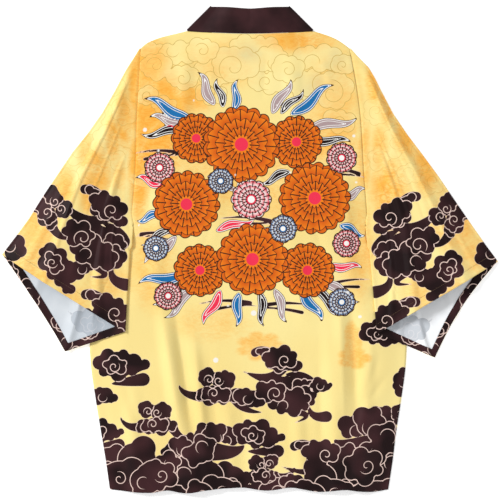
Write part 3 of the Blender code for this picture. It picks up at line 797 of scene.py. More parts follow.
def front_grid(side, v=None):
    """One front: its outer edge lies under the back's, and its inner edge meets the collar band."""
    u = np.linspace(0.0, 1.0, FRONT_COLUMNS + 1)
    v = np.linspace(0.0, 1.0, FRONT_ROWS + 1) if v is None else v
    top = along_points(LEFT_SHOULDER if side == "left" else RIGHT_SHOULDER[::-1], u)
    outer = side_edge(side, v)
    inner_y = NECK_TOP + (HEM_FRONT - NECK_TOP) * v
    inner = np.stack([np.full(len(v), SIGN[side] * NECK_HALF), inner_y], axis=1)
    outer = outer + v[:, None] ** HEM_EASE_POWER * np.array([0.0, HEM_FRONT - outer[-1, 1]])
    bottom = (1 - u)[:, None] * outer[-1] + u[:, None] * inner[-1]
    if side == "left":
        grid = coons(top, bottom, outer, inner, u, v)
    else:
        grid = coons(top[::-1], bottom[::-1], inner, outer, u, v)
    return with_level(grid, np.full(grid.shape[:2], FRONT_LEVEL))


# The sleeves


def under_sleeve_level(x, y, side):
    """Height of a sleeve's lower layer: on the surface, or on the back where that is under it."""
    seam = side_seam(side, SEAM_POINTS)
    inside = (SIGN[side] * x < SIGN[side] * seam_x(seam, y)) & (y < seam[0, 1])
    outside = np.where(inside, 0.0, distance_to_line(x, y, seam))
    on_back = np.where(inside, back_level(x, y), SEAM_LEVEL) + WALL + CLEARANCE
    below = smooth_step((seam[0, 1] - UNDERARM_DROP - y) / UNDERARM_CLIMB)
    climb = smooth_step(1.0 - outside / SLEEVE_CLIMB) * below
    return FRONT_LEVEL + climb * (on_back - FRONT_LEVEL)


def inward_of(run, side):
    """The direction square to the cuff's edge or the top fold, towards the robe's middle."""
    return np.array([run[1], -run[0]]) * SIGN[side] / np.linalg.norm(run)


def cuff_line(side, across, layer):
    """The edge of a sleeve layer at the cuff, from the top fold to the inner corner."""
    cuff = CUFFS[side]
    top_end = np.array([cuff.top_x, cuff.top_y])
    inner_end = np.array([cuff.inner_x, cuff.inner_y])
    if layer == "upper":
        return top_end + across[:, None] * (inner_end - top_end)
    tip = np.array([cuff.tip_x, cuff.tip_y])
    before = top_end + (across / TIP_SHARE)[:, None] * (tip - top_end)
    after = tip + ((across - TIP_SHARE) / (1.0 - TIP_SHARE))[:, None] * (inner_end - tip)
    bow = cuff.bow * np.sin(math.pi * np.clip(across / TIP_SHARE, 0.0, 1.0))
    before = before + bow[:, None] * inward_of(tip - top_end, side)
    return np.where((across <= TIP_SHARE)[:, None], before, after)


def sleeve_plan(side, along, across, layer):
    """Places of a sleeve layer's points.

    along runs from the armhole to the cuff, across from the top fold to the lower fold. The lines
    of points near the lower fold leave the armhole more squarely than the fold does.
    """
    armhole = np.array(edge_line(ARMHOLE, side)) + np.array([SIGN[side] * SLEEVE_EDGE_GAP, 0.0])
    start = along_points(armhole, across)
    end = cuff_line(side, across, layer)
    chord = end - start
    length = np.linalg.norm(chord, axis=1, keepdims=True)
    fade = np.sqrt(np.clip((1.0 - across) / SQUARE_FADE, 0.0, 1.0))
    square = (SQUARE_SHARE * across**SQUARE_POWER * fade)[:, None]
    leave = (1 - square) * chord + square * length * np.array([SIGN[side], 0.0])
    plan = hermite(along[:, None, None], start, leave, end, chord)
    rows = [(row.along, getattr(row, side)) for row in TOP_FOLD]
    dip = np.interp(along, *zip(*rows))[:, None] * (1.0 - across)[None] ** 2
    return plan + dip[..., None] * inward_of(end[0] - armhole[0], side)


def between_folds(across, margin):
    """One between a sleeve's two folds, and down to nothing over a margin at each."""
    return smooth_step(across / margin) * smooth_step((1.0 - across) / margin)


def gape(side, along, across):
    """How far the upper layer of a sleeve stands off the lower one, between its two folds."""
    a, c = along[:, None], across[None, :]
    top = GAPE_CREST + GAPE_CREST_SHIFT * a
    turn = np.where(c < top, 0.5 * c / top, 0.5 + 0.5 * (c - top) / (1.0 - top))
    height = (ARM_GAPE + (CUFF_GAPE - ARM_GAPE) * a) * np.sin(math.pi * turn)
    armhole = along_points(edge_line(ARMHOLE, side), across)
    opened = smooth_step(a / GAPE_OPENING)
    height = opened * height + (1.0 - opened) * armhole_loft(armhole[:, 1])[None]
    creases = sleeve_ridges(along, across, SLEEVE_CREASES[side], sharp=True)
    height = height + sleeve_ridges(along, across, SLEEVE_FOLDS[side])
    return (height + crease_depth() * opened * creases) * between_folds(c, LAYER_MARGIN)


def underarm_overlap(side, points):
    """How far the lower fold moves in, to lie over the back's edge below the armhole."""
    edge_x = seam_x(side_seam(side, FINE_SEAM_POINTS), points[..., 1])
    gap = SIGN[side] * (points[..., 0] - edge_x)
    near = smooth_step((points[..., 1] - UNDERARM_LOW) / UNDERARM_NEAR)
    return near * np.clip(gap + UNDERLAP, 0.0, UNDERARM_SHIFT)


def across_shares():
    """Shares across a sleeve layer, with one at the tip of the cuff."""
    margin = 0.5 / SLEEVE_LAYER_CELLS
    across = margin + (1.0 - 2.0 * margin) * np.linspace(0.0, 1.0, SLEEVE_LAYER_CELLS)
    across[np.abs(across - TIP_SHARE).argmin()] = TIP_SHARE
    return np.concatenate([[0.0], across, [1.0]])


def sleeve_rings(side, along):
    """Rings of points round a sleeve, at the given shares of its length.

    A ring runs over the upper layer from the top fold, round the lower fold,
    back along the lower layer and round the top fold to where it started.
    """
    across = across_shares()
    opened = smooth_step(along / ROUND_OPENING)[:, None]
    lowest = smooth_step((across - LOWEST) / (1.0 - LOWEST))[None]
    radius = SLEEVE_FOLD_RADIUS * (0.5 + 0.5 * np.maximum(opened, LOWEST_ROUND * lowest))
    under = sleeve_plan(side, along, across, "under")
    upper = sleeve_plan(side, along, across, "upper")
    under_z = under_sleeve_level(under[..., 0], under[..., 1], side)
    upper_floor = under_sleeve_level(upper[..., 0], upper[..., 1], side)
    at_seam = smooth_step(1.2 - along / SEAM_END)[:, None] * between_folds(across, SEAM_MARGIN)[None]
    underlap = SLEEVE_EDGE_GAP + UNDERLAP + underarm_ease(upper[..., 1])
    upper[..., 0] -= SIGN[side] * underlap * at_seam
    upper[..., 0] -= SIGN[side] * underarm_overlap(side, upper) * lowest
    upper_z = upper_floor + 2.0 * radius + gape(side, along, across)
    upper_z = upper_z - (TUCK + UNDERLAP_DROP) * at_seam
    lifted = sleeve_ridges(along, across, CUFF_FOLDS[side], sharp=True)
    lifted = lifted * smooth_step((1.0 - across) / FOLD_MARGIN)[None]
    upper = with_level(upper, upper_z)
    under = with_level(under, under_z + lifted)
    lower_turn = fold_turn(upper[:, -1], under[:, -1], upper[:, -2])
    top_turn = fold_turn(under[:, 0], upper[:, 0], under[:, 1])
    return np.concatenate([upper, lower_turn, under[:, ::-1], top_turn, upper[:, :1]], axis=1)


def fold_turn(start, end, inner):
    """Points that turn from one layer to the other round a fold, outside its edge."""
    middle = (start + end) / 2.0
    radius = np.linalg.norm(start - end, axis=1, keepdims=True) / 2.0
    run = np.gradient(middle[:, :2], axis=0)
    outward = np.stack([run[:, 1], -run[:, 0], np.zeros(len(run))], axis=1)
    outward = outward / np.linalg.norm(outward, axis=1, keepdims=True)
    half = len(run) // 2
    if np.dot(outward[half], start[half] - inner[half]) < 0.0:
        outward = -outward
    points = []
    for k in range(1, SLEEVE_TURN_CELLS):
        angle = math.pi * k / SLEEVE_TURN_CELLS
        points.append(middle + (start - middle) * math.cos(angle) + outward * radius * math.sin(angle))
    return np.stack(points, axis=1)


def cuff_rings(side, depths):
    """Rings of points round a cuff, each at an even depth in from its edge."""
    rings = sleeve_rings(side, np.linspace(CUFF_START, 1.0, CUFF_RINGS))[::-1]
    steps = np.linalg.norm(np.diff(rings, axis=0), axis=2)
    inward = np.concatenate([np.zeros((1, steps.shape[1])), np.cumsum(steps, axis=0)])
    points = np.empty((len(depths),) + rings.shape[1:])
    for column in range(rings.shape[1]):
        for axis in range(3):
            points[:, column, axis] = np.interp(depths, inward[:, column], rings[:, column, axis])
    return points


def outward_of(rings):
    """The outward direction at every point of a sleeve's rings."""
    normal = np.cross(np.gradient(rings, axis=0), np.gradient(rings, axis=1))
    normal = normal / np.maximum(np.linalg.norm(normal, axis=2, keepdims=True), 1e-9)
    middle = normal[:, SLEEVE_LAYER_CELLS // 2, 2].mean()
    return normal if middle > 0.0 else -normal


# The collar band


def band_sections():
    """The right half of the collar band, from the middle of the back neck to the front hem.

    A section runs from the edge that is sewn on to the free edge.
    """
    sewn_x = NECK_HALF - BAND_SEAM_GAP
    free_x = sewn_x - BAND_WIDTH
    sewn_top = NECK_TOP + BAND_SEAM_GAP
    free_top = sewn_top + BAND_WIDTH
    low = BAND / 2.0
    high = low + 2.0 * BAND_FOLD_RADIUS
    sections = []
    for k in range(BAND_BACK_CELLS + 1):
        share = k / BAND_BACK_CELLS
        x = share * sewn_x
        sewn_y = float(neck_edge(x)) + BAND_SEAM_GAP
        free_y = free_top - BAND_TOP_DIP * math.cos(0.5 * math.pi * share) ** 2
        level = max(high, float(back_level(np.array([x]), np.array([sewn_y]))[0]))
        stand = BAND_RISE * math.sin(math.pi * share) * (1.0 - share)
        sections.append(((x, sewn_y, level), (share * free_x, free_y, level + stand)))
    for k in range(1, BAND_TURN_CELLS):
        angle = math.pi * k / BAND_TURN_CELLS
        push = BAND_FOLD_RADIUS * math.sin(angle) * math.sqrt(0.5)
        level = low + BAND_FOLD_RADIUS * (1.0 + math.cos(angle))
        sections.append(((sewn_x + push, sewn_top + push, level), (free_x + push, free_top + push, level)))
    for k in range(BAND_SLANT_CELLS + 1):
        share = k / BAND_SLANT_CELLS
        sewn_y = sewn_top - share * BAND_SLANT
        free_y = free_top - share * (BAND_WIDTH + BAND_SLANT)
        sections.append(((sewn_x, sewn_y, low), (free_x, free_y, low)))
    start = sewn_top - BAND_SLANT
    for k in range(1, BAND_LEG_CELLS + 1):
        y = start + (HEM_FRONT - start) * k / BAND_LEG_CELLS
        sections.append(((sewn_x, y, low), (free_x, y, low)))
    return np.array(sections)


def band_grid():
    half = band_sections()
    mirrored = half[:0:-1] * np.array([-1.0, 1.0, 1.0])
    whole = np.concatenate([mirrored, half])
    share = np.linspace(0.0, 1.0, BAND_ACROSS_CELLS + 1)[None, :, None]
    return whole[:, :1] + share * (whole[:, 1:] - whole[:, :1])


# Meshes and pieces


def grid_bmesh(points, closed=False):
    """A grid whose vertices are moved to the given points. A closed one is joined into a tube."""
    rows, columns = points.shape[0] - 1, points.shape[1] - 1
    bm = bmesh.new()
    bmesh.ops.create_grid(bm, x_segments=columns, y_segments=rows, size=0.5)
    for vert in bm.verts:
        column = round((vert.co.x + 0.5) * columns)
        row = round((0.5 - vert.co.y) * rows)
        vert.co = points[row, column] * MM
    if closed:
        bmesh.ops.remove_doubles(bm, verts=bm.verts, dist=WELD)
    bmesh.ops.recalc_face_normals(bm, faces=bm.faces)
    return bm


def face_up(bm, up=True):
    """Turns an open sheet's faces so that its right side looks up, or down."""
    bm.normal_update()
    total = sum(face.normal.z * face.calc_area() for face in bm.faces)
    if (total < 0.0) == up:
        bmesh.ops.reverse_faces(bm, faces=bm.faces)


def face_out(bm):
    """Turns a tube's faces so that its right side looks out."""
    bm.normal_update()
    highest = max(bm.faces, key=lambda face: face.calc_center_median().z)
    if highest.normal.z < 0.0:
        bmesh.ops.reverse_faces(bm, faces=bm.faces)


def new_object(name, bm):
    """Makes an object of a bmesh."""
    mesh = bpy.data.meshes.new(name)
    bm.to_mesh(mesh)
    bm.free()
    made = bpy.data.objects.new(name, mesh)
    bpy.context.scene.collection.objects.link(made)
    return made


def new_piece(name, bm, materials, node=None):
    """Makes an object of a bmesh, on the frame's one body."""
    piece = new_object(name, bm)
    piece.data.shade_smooth()
    for material in materials:
        piece.data.materials.append(material)
    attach(piece, "root")
    if node:
        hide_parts(node)
    return piece


def thicken(piece, thickness):
    """Gives a sheet its thickness, with its second material on the wrong side."""
    wall = piece.modifiers.new("wall", "SOLIDIFY")
    wall.thickness = thickness
    wall.offset = 0.0
    wall.use_even_offset = True
    wall.use_quality_normals = True
    if len(piece.data.materials) > 1:
        wall.material_offset = 1


def hem_offset(cloth):
    """How far the middle of a hem is from the middle of the cloth that it lies against."""
    return cloth.thickness / MM * (0.5 + HEM_THICKNESS / 2.0)


def stitches(name, line, material, length):
    """A row of short stitches along a line of points."""
    bm = bmesh.new()
    at = way_along(line)
    for start in np.arange(STITCH_GAP, at[-1] - length - STITCH_GAP, length + STITCH_GAP):
        ends = [
            np.array([np.interp(way, at, line[:, axis]) for axis in range(3)])
            for way in (start, start + length)
        ]
        run = Vector(ends[1] - ends[0])
        middle = Vector((ends[0] + ends[1]) / 2.0) * MM
        bmesh.ops.create_cone(
            bm,
            cap_ends=True,
            segments=STITCH_SIDES,
            radius1=THREAD_RADIUS * MM,
            radius2=THREAD_RADIUS * MM,
            depth=run.length * MM,
            matrix=Matrix.Translation(middle) @ run.to_track_quat("Z", "Y").to_matrix().to_4x4(),
        )
    return new_piece(name, bm, [material])


# Where the print lies


def plan_of(piece):
    """The plan of a piece's vertices, in millimetres."""
    points = np.empty(len(piece.data.vertices) * 3)
    piece.data.vertices.foreach_get("co", points)
    points = points.reshape(-1, 3) / MM
    return points[:, 0], points[:, 1]


def keep_values(piece, name, values):
    """Keeps a number, or a point, for every vertex of a piece."""
    if values.ndim == 1:
        piece.data.attributes.new(name, "FLOAT", "POINT").data.foreach_set("value", values)
    else:
        kept = piece.data.attributes.new(name, "FLOAT_VECTOR", "POINT")
        kept.data.foreach_set("vector", values.ravel())


def placed_motifs(places):
    """The puffs and wisps of every placed motif."""
    puffs, wisps = [], []
    for place in places:
        angle = math.radians(place.turn)
        cosine, sine = math.cos(angle) * place.scale, math.sin(angle) * place.scale

        def put(x, y):
            x = x * place.flip
            return place.x + x * cosine - y * sine, place.y + x * sine + y * cosine

        motif_puffs, motif_wisps = MOTIFS[place.motif]
        for puff in motif_puffs:
            x, y = put(puff.x, puff.y)
            curl_x, curl_y = put(puff.curl_x, puff.curl_y)
            scaled = {
                name: getattr(puff, name) * place.scale
                for name in ("half_width", "half_height", "lobe", "curl")
            }
            placed = puff._replace(x=x, y=y, curl_x=curl_x, curl_y=curl_y, **scaled)
            puffs.append(PlacedPuff(placed, place.turn, place.flip, 1.0))
        for wisp in motif_wisps:
            line = put(wisp.x0, wisp.y0) + put(wisp.x1, wisp.y1) + put(wisp.x2, wisp.y2)
            wisps.append(Wisp(*line, wisp.half_width * place.scale))
    return puffs, wisps


def clouds_of(side, places, shift):
    """The clouds of one side. The right ones are the left ones' mirror image, shifted a little."""
    if side == "left":
        return places
    return [
        place._replace(x=shift[0] - place.x, y=shift[1] + place.y, turn=-place.turn, flip=-place.flip)
        for place in places
    ]


def sleeve_pale_puffs(side):
    """The pale clouds of a sleeve. The right one's are a mirror image of the left one's."""
    if side == "left":
        return SLEEVE_PALE_PUFFS
    return [
        puff._replace(x=-puff.x, curl_x=-puff.curl_x, curl_turn=180 - puff.curl_turn)
        for puff in SLEEVE_PALE_PUFFS
    ]


def puff_field(x, y, puff, turn, flip):
    """Distance inside a puff: an oval with uneven lobes round it."""
    u, v = along_and_over(x - puff.x, y - puff.y, turn)
    u = u * flip
    away = np.hypot(u / puff.half_width, v / puff.half_height)
    steep = np.hypot(u / puff.half_width**2, v / puff.half_height**2)
    inside = away * (1.0 - away) / np.maximum(steep, 1e-6)
    middle = min(puff.half_width, puff.half_height) * (1.0 - away)
    inside = np.where(away < PUFF_MIDDLE, middle, inside)
    for k in range(puff.lobes):
        around = 2.0 * math.pi * (k + LOBE_START) / puff.lobes
        lobe = puff.lobe * (LOBE_SIZE + LOBE_VARIETY * math.sin(LOBE_BEAT * k + puff.half_width))
        centre_u = (puff.half_width - LOBE_INSET * lobe) * math.cos(around)
        centre_v = (puff.half_height - LOBE_INSET * lobe) * math.sin(around)
        inside = np.maximum(inside, lobe - np.hypot(u - centre_u, v - centre_v))
    return inside


def curl_place(x, y, puff, turn, flip):
    """The place in a puff's curl, in shares of its size, and that size."""
    size = abs(puff.curl)
    u, v = along_and_over((x - puff.curl_x) / size, (y - puff.curl_y) / size, turn)
    along, over = along_and_over(u * flip, v, puff.curl_turn)
    return np.stack([along, over, np.full(len(x), float(puff.curl))], axis=1)


def is_clear(puff, others):
    """Whether a puff has a curl that keeps off the curls of the others."""
    return puff.curl and all(
        math.hypot(puff.curl_x - other.curl_x, puff.curl_y - other.curl_y) > abs(puff.curl) + abs(other.curl)
        for other in others
    )


def stroke_field(x, y, stroke):
    """Distance inside a curved stroke that widens from its start to its end."""
    t = np.linspace(0.0, 1.0, STROKE_POINTS)
    line_x = (1 - t) ** 2 * stroke.x0 + 2 * t * (1 - t) * stroke.x1 + t**2 * stroke.x2
    line_y = (1 - t) ** 2 * stroke.y0 + 2 * t * (1 - t) * stroke.y1 + t**2 * stroke.y2
    half = stroke.half_width * t**STROKE_TAPER
    best = np.full(len(x), FAR)
    for k in range(len(t) - 1):
        dx, dy = line_x[k + 1] - line_x[k], line_y[k + 1] - line_y[k]
        share = np.clip(((x - line_x[k]) * dx + (y - line_y[k]) * dy) / (dx * dx + dy * dy), 0.0, 1.0)
        away = np.hypot(x - line_x[k] - share * dx, y - line_y[k] - share * dy)
        best = np.maximum(best, half[k] + share * (half[k + 1] - half[k]) - away)
    return best


def stroke_depth(x, y, strokes):
    """The distance inside the nearest of some strokes."""
    depth = np.full(len(x), FAR)
    for stroke in strokes:
        reach = stroke.half_width + STROKE_NEARBY
        xs, ys = (stroke.x0, stroke.x1, stroke.x2), (stroke.y0, stroke.y1, stroke.y2)
        near = np.flatnonzero(
            (x > min(xs) - reach) & (x < max(xs) + reach) & (y > min(ys) - reach) & (y < max(ys) + reach)
        )
        depth[near] = np.maximum(depth[near], stroke_field(x[near], y[near], stroke))
    return depth


def leaf_field(x, y, leaf):
    """Distance inside a leaf with two points and a waving spine."""
    along, over = along_and_over(x - leaf.x, y - leaf.y, leaf.angle)
    share = np.clip(along / leaf.length, 0.0, 1.0)
    spine = leaf.bend * np.sin(2.0 * math.pi * share) * share
    half = leaf.half_width * np.sin(math.pi * share**0.7) ** 0.8
    beyond = np.abs(along / leaf.length - share) * leaf.length
    return half - np.abs(over - spine) - beyond


def leaf_depth(x, y):
    """The distance inside the nearest leaf, and its hue."""
    depth = np.full(len(x), FAR)
    hue = np.zeros(len(x))
    for leaf in LEAVES:
        near = np.flatnonzero(np.hypot(x - leaf.x, y - leaf.y) < leaf.length + NEARBY)
        inside = leaf_field(x[near], y[near], leaf)
        nearer = inside > depth[near]
        depth[near[nearer]] = inside[nearer]
        hue[near[nearer]] = leaf.hue
    return depth, hue


def bloom_field(x, y, bloom):
    """Distance inside a round of petals, and the place in it in shares of its radius."""
    u, v = along_and_over(x - bloom.x, y - bloom.y, bloom.turn)
    u, v = u / bloom.radius, v / bloom.radius
    around = np.arctan2(v, u)
    rim = 1.0 - BLOOM_NOTCH * (1.0 - np.abs(np.cos(0.5 * bloom.petals * around)) ** 0.7)
    return (rim - np.hypot(u, v)) * bloom.radius, u, v


def bloom_depth(x, y, blooms):
    """The distance inside the nearest of some rounds of petals, the place in it and its hue."""
    depth = np.full(len(x), FAR)
    place = np.zeros((len(x), 3))
    hue = np.zeros(len(x))
    for bloom in blooms:
        reach = bloom.radius + NEARBY
        near = np.flatnonzero((np.abs(x - bloom.x) < reach) & (np.abs(y - bloom.y) < reach))
        inside, u, v = bloom_field(x[near], y[near], bloom)
        nearer = inside > depth[near]
        chosen = near[nearer]
        depth[chosen] = inside[nearer]
        place[chosen] = np.stack([u[nearer], v[nearer], np.full(nearer.sum(), bloom.radius)], axis=1)
        hue[chosen] = bloom.hue
    return depth, place, hue


def paint_wash_and_shade(piece):
    """Works out where the ground of a piece is washed with orange: the print's wash, and painted shade along
    the armhole seams and the sleeves' main ridges.
    """
    x, y = plan_of(piece)
    wash_and_shade = np.zeros(len(x))
    for patch in WASH_AND_SHADE_PATCHES:
        dx, dy = (x - patch.x) / patch.half_width, (y - patch.y) / patch.half_height
        away = np.hypot(dx, dy)
        spread = WASH_REACH - WASH_FALL * away
        if patch.petals:
            rim = np.abs(np.cos(0.5 * patch.petals * np.arctan2(dy, dx))) ** 0.5
            spread = PETAL_WASH_FALL * (1.0 - PETAL_WASH_NOTCH * (1.0 - rim) - away) + 0.5
        wash_and_shade = np.maximum(wash_and_shade, patch.strength * smooth_step(spread))
    keep_values(piece, "wash_and_shade", wash_and_shade)


def paint_clouds(piece, places, pale):
    """Works out where the clouds lie on a piece."""
    x, y = plan_of(piece)
    puffs, wisps = placed_motifs(places)
    puffs += [PlacedPuff(puff) for puff in pale]
    dark, top_depth = np.zeros(len(x)), np.full(len(x), FAR)
    for layer in LAYERS:
        curled = []
        depth = np.full(len(x), FAR)
        curl = np.zeros((len(x), 3))
        reach = np.full(len(x), -FAR)
        for puff, turn, flip, is_dark in puffs:
            if puff.layer != layer:
                continue
            span = puff.half_width + puff.lobe + NEARBY
            near = np.flatnonzero((np.abs(x - puff.x) < span) & (np.abs(y - puff.y) < span))
            inside = puff_field(x[near], y[near], puff, turn, flip)
            depth[near] = np.maximum(depth[near], inside)
            over = inside > top_depth[near]
            dark[near[over]] = is_dark
            top_depth[near[over]] = inside[over]
            if is_clear(puff, curled):
                curled.append(puff)
                away = np.hypot(x - puff.curl_x, y - puff.curl_y) / abs(puff.curl)
                chosen = np.flatnonzero(away < reach)
                reach[chosen] = away[chosen]
                curl[chosen] = curl_place(x[chosen], y[chosen], puff, turn, flip)
        keep_values(piece, f"puff{layer}", depth)
        keep_values(piece, f"curl{layer}", curl)
        keep_values(piece, f"reach{layer}", reach)
    keep_values(piece, "dark", dark)
    keep_values(piece, "wisp", stroke_depth(x, y, wisps))
    paint_wash_and_shade(piece)


def paint_picture(piece):
    """Works out where the petals, leaves and sparks lie on the back."""
    x, y = plan_of(piece)
    for layer in BLOOM_LAYERS:
        depth, place, hue = bloom_depth(x, y, [bloom for bloom in BLOOMS if bloom.layer == layer])
        keep_values(piece, f"bloom{layer}", depth)
        keep_values(piece, f"petal{layer}", place)
        keep_values(piece, f"bloom_hue{layer}", hue)
    depth, hue = leaf_depth(x, y)
    keep_values(piece, "leaf", depth)
    keep_values(piece, "leaf_hue", hue)
    spark = np.full(len(x), FAR)
    for dot in SPARKS:
        spark = np.maximum(spark, dot.radius - np.hypot(x - dot.x, y - dot.y))
    keep_values(piece, "spark", spark)


# The materials


class Graph:
    """A node tree, with short calls that make its nodes and join them."""

    def __init__(self, tree):
        self.tree = tree

    def feed(self, socket, value):
        if isinstance(value, bpy.types.NodeSocket):
            self.tree.links.new(value, socket)
        else:
            socket.default_value = value

    def feed_all(self, node, feeds):
        for key, value in feeds.items():
            self.feed(node.inputs[key], value)

    def node(self, kind, feeds, **settings):
        made = self.tree.nodes.new(kind)
        for key, value in settings.items():
            setattr(made, key, value)
        self.feed_all(made, feeds)
        return made

    def group(self, name, build, feeds):
        """The outputs of a group, which is built when it is first asked for."""
        tree = bpy.data.node_groups.get(name) or build(name)
        return self.node("ShaderNodeGroup", feeds, node_tree=tree).outputs

    def math(self, operation, a, b=0.0):
        return self.node("ShaderNodeMath", {0: a, 1: b}, operation=operation).outputs[0]

    def above(self, value, limit):
        return self.math("GREATER_THAN", value, limit)

    def below(self, value, limit):
        return self.math("LESS_THAN", value, limit)

    def between(self, value, low, high):
        return self.all_of(self.above(value, low), self.below(value, high))

    def all_of(self, *values):
        result = values[0]
        for value in values[1:]:
            result = self.math("MULTIPLY", result, value)
        return result

    def most_of(self, *values):
        result = values[0]
        for value in values[1:]:
            result = self.math("MAXIMUM", result, value)
        return result

    def polar(self, place):
        """The radius and the turn of a place's first two numbers, and its third number."""
        x, y, third = self.node("ShaderNodeSeparateXYZ", {0: place}).outputs
        square = self.math("ADD", self.math("POWER", x, 2.0), self.math("POWER", y, 2.0))
        turn = self.math("DIVIDE", self.math("ARCTAN2", y, x), 2.0 * math.pi)
        return self.math("SQRT", square), turn, third

    def mix(self, factor, first, second):
        feeds = {0: factor, 6: first, 7: second}
        return self.node("ShaderNodeMix", feeds, data_type="RGBA", clamp_factor=True).outputs[2]

    def mix_numbers(self, factor, first, second):
        return self.node("ShaderNodeMix", {0: factor, 2: first, 3: second}).outputs[0]

    def mapped(self, value, from_range, to_range=(0.0, 1.0), kind="LINEAR"):
        feeds = {"Value": value, "From Min": from_range[0], "From Max": from_range[1]}
        feeds.update({"To Min": to_range[0], "To Max": to_range[1]})
        return self.node("ShaderNodeMapRange", feeds, interpolation_type=kind).outputs[0]

    def stretched(self, place, stretch):
        feeds = {0: place, 1: (1.0, stretch, 1.0)}
        return self.node("ShaderNodeVectorMath", feeds, operation="MULTIPLY").outputs[0]

    def noise(self, place, scale, detail=2.0, distortion=0.0):
        feeds = {"Vector": place, "Scale": scale, "Detail": detail, "Distortion": distortion}
        return self.node("ShaderNodeTexNoise", feeds).outputs["Fac"]

    def kept(self, name, kind="Fac"):
        """The values, or points, that were kept for the vertices under a name."""
        return self.node("ShaderNodeAttribute", {}, attribute_name=name).outputs[kind]

    def object_place(self):
        return self.node("ShaderNodeTexCoord", {}).outputs["Object"]


def new_group(name, inputs, outputs):
    """A node group with its input and output nodes. Its outputs are all numbers."""
    tree = bpy.data.node_groups.new(name, "ShaderNodeTree")
    for label, kind in inputs.items():
        tree.interface.new_socket(name=label, in_out="INPUT", socket_type=f"NodeSocket{kind}")
    for label in outputs:
        tree.interface.new_socket(name=label, in_out="OUTPUT", socket_type="NodeSocketFloat")
    given = tree.nodes.new("NodeGroupInput").outputs
    return Graph(tree), given, tree.nodes.new("NodeGroupOutput")


def puff_group(name):
    """The fill, the outline and the curl of one layer of puffs."""
    inputs = {"Depth": "Float", "Curl": "Vector", "Reach": "Float", "Under": "Float", "Width": "Float"}
    graph, given, made = new_group(name, inputs, ("Fill", "Line", "Rim"))
    depth, width = given["Depth"], given["Width"]
    radius, turn, size = graph.polar(given["Curl"])
    arm = graph.math("SUBTRACT", graph.math("DIVIDE", radius, CURL_PITCH), turn)
    away = graph.all_of(graph.math("PINGPONG", arm, 0.5), CURL_PITCH, graph.math("ABSOLUTE", size))
    hook = graph.below(size, 0.0)
    start = graph.math("ADD", graph.all_of(hook, HOOK_START - CURL_START), CURL_START)
    curl = graph.all_of(
        graph.below(away, graph.math("MULTIPLY", width, 0.5)),
        graph.above(radius, start),
        graph.below(radius, 1.0),
        graph.below(given["Reach"], CURL_REACH),
        graph.above(depth, 0.0),
    )
    outline = graph.all_of(graph.between(depth, 0.0, width), given["Under"])
    line = graph.most_of(outline, curl)
    rim = graph.between(depth, -RIM_LINE, 0.0)
    graph.feed_all(made, {"Fill": graph.above(depth, 0.0), "Line": line, "Rim": rim})
    return graph.tree


def bloom_group(name):
    """The lines, the heart and the shade of one layer of petal rounds."""
    inputs = {"Depth": "Float", "Place": "Vector"}
    graph, given, made = new_group(name, inputs, ("Fill", "Line", "Heart", "Shade"))
    depth = given["Depth"]
    radius, turn, size = graph.polar(given["Place"])
    way_round = graph.all_of(radius, size)
    lines, shade = 0.0, 0.0
    for start, shift in PETAL_RINGS:
        place = graph.math("ADD", graph.math("MULTIPLY", turn, PETAL_COUNT), shift)
        petal = graph.math("PINGPONG", place, 0.5)
        edge = graph.math("ADD", graph.all_of(graph.math("SQRT", petal), PETAL_BULGE), start)
        beyond = graph.above(radius, edge)
        inward = graph.math("SUBTRACT", radius, edge)
        tip = graph.math("ABSOLUTE", graph.all_of(inward, size))
        side = graph.all_of(petal, 2.0 * math.pi / PETAL_COUNT, way_round)
        line = graph.most_of(graph.below(side, PETAL_LINE / 2.0), graph.below(tip, PETAL_LINE / 2.0))
        lines = graph.mix_numbers(beyond, lines, line)
        shade = graph.mix_numbers(beyond, shade, graph.mapped(inward, (0.0, PETAL_SHADE), (1.0, 0.0)))
    lines = graph.most_of(lines, graph.between(depth, 0.0, PETAL_LINE))
    heart = graph.below(radius, PETAL_RINGS[0][0])
    graph.feed_all(made, {"Fill": graph.above(depth, 0.0), "Line": lines, "Heart": heart, "Shade": shade})
    return graph.tree


def colour(name):
    """A colour that the user can change, as red, green, blue and alpha."""
    return (*getattr(bpy.context.scene.robe_colours, name), 1.0)


def ground_colour(graph, place):
    """Pale yellow, washed with orange in soft patches, some of which are painted shade, with feathery
    strokes.
    """
    wash_and_shade = graph.kept("wash_and_shade")
    swirl = graph.noise(place, scale=13.0, detail=4.0, distortion=1.4)
    stretched = graph.stretched(place, 2.2)
    strokes = graph.noise(stretched, scale=46.0, detail=4.0, distortion=2.6)
    fine = graph.noise(stretched, scale=150.0, detail=3.0, distortion=1.8)
    warm = graph.all_of(wash_and_shade, graph.mapped(swirl, (0.28, 0.62), (0.35, 1.15), "SMOOTHSTEP"))
    grain = graph.math("ADD", graph.all_of(strokes, 0.6), graph.all_of(fine, 0.4))
    feather = graph.all_of(graph.mapped(grain, (0.44, 0.60)), wash_and_shade)
    tint = graph.mapped(graph.noise(place, scale=5.0), (0.35, 0.7))
    base = graph.mix(tint, colour("ground"), colour("ground_light"))
    washed = graph.mix(graph.mapped(warm, (0.05, 0.95)), base, colour("warm"))
    return graph.mix(graph.all_of(feather, 0.7), washed, colour("amber"))


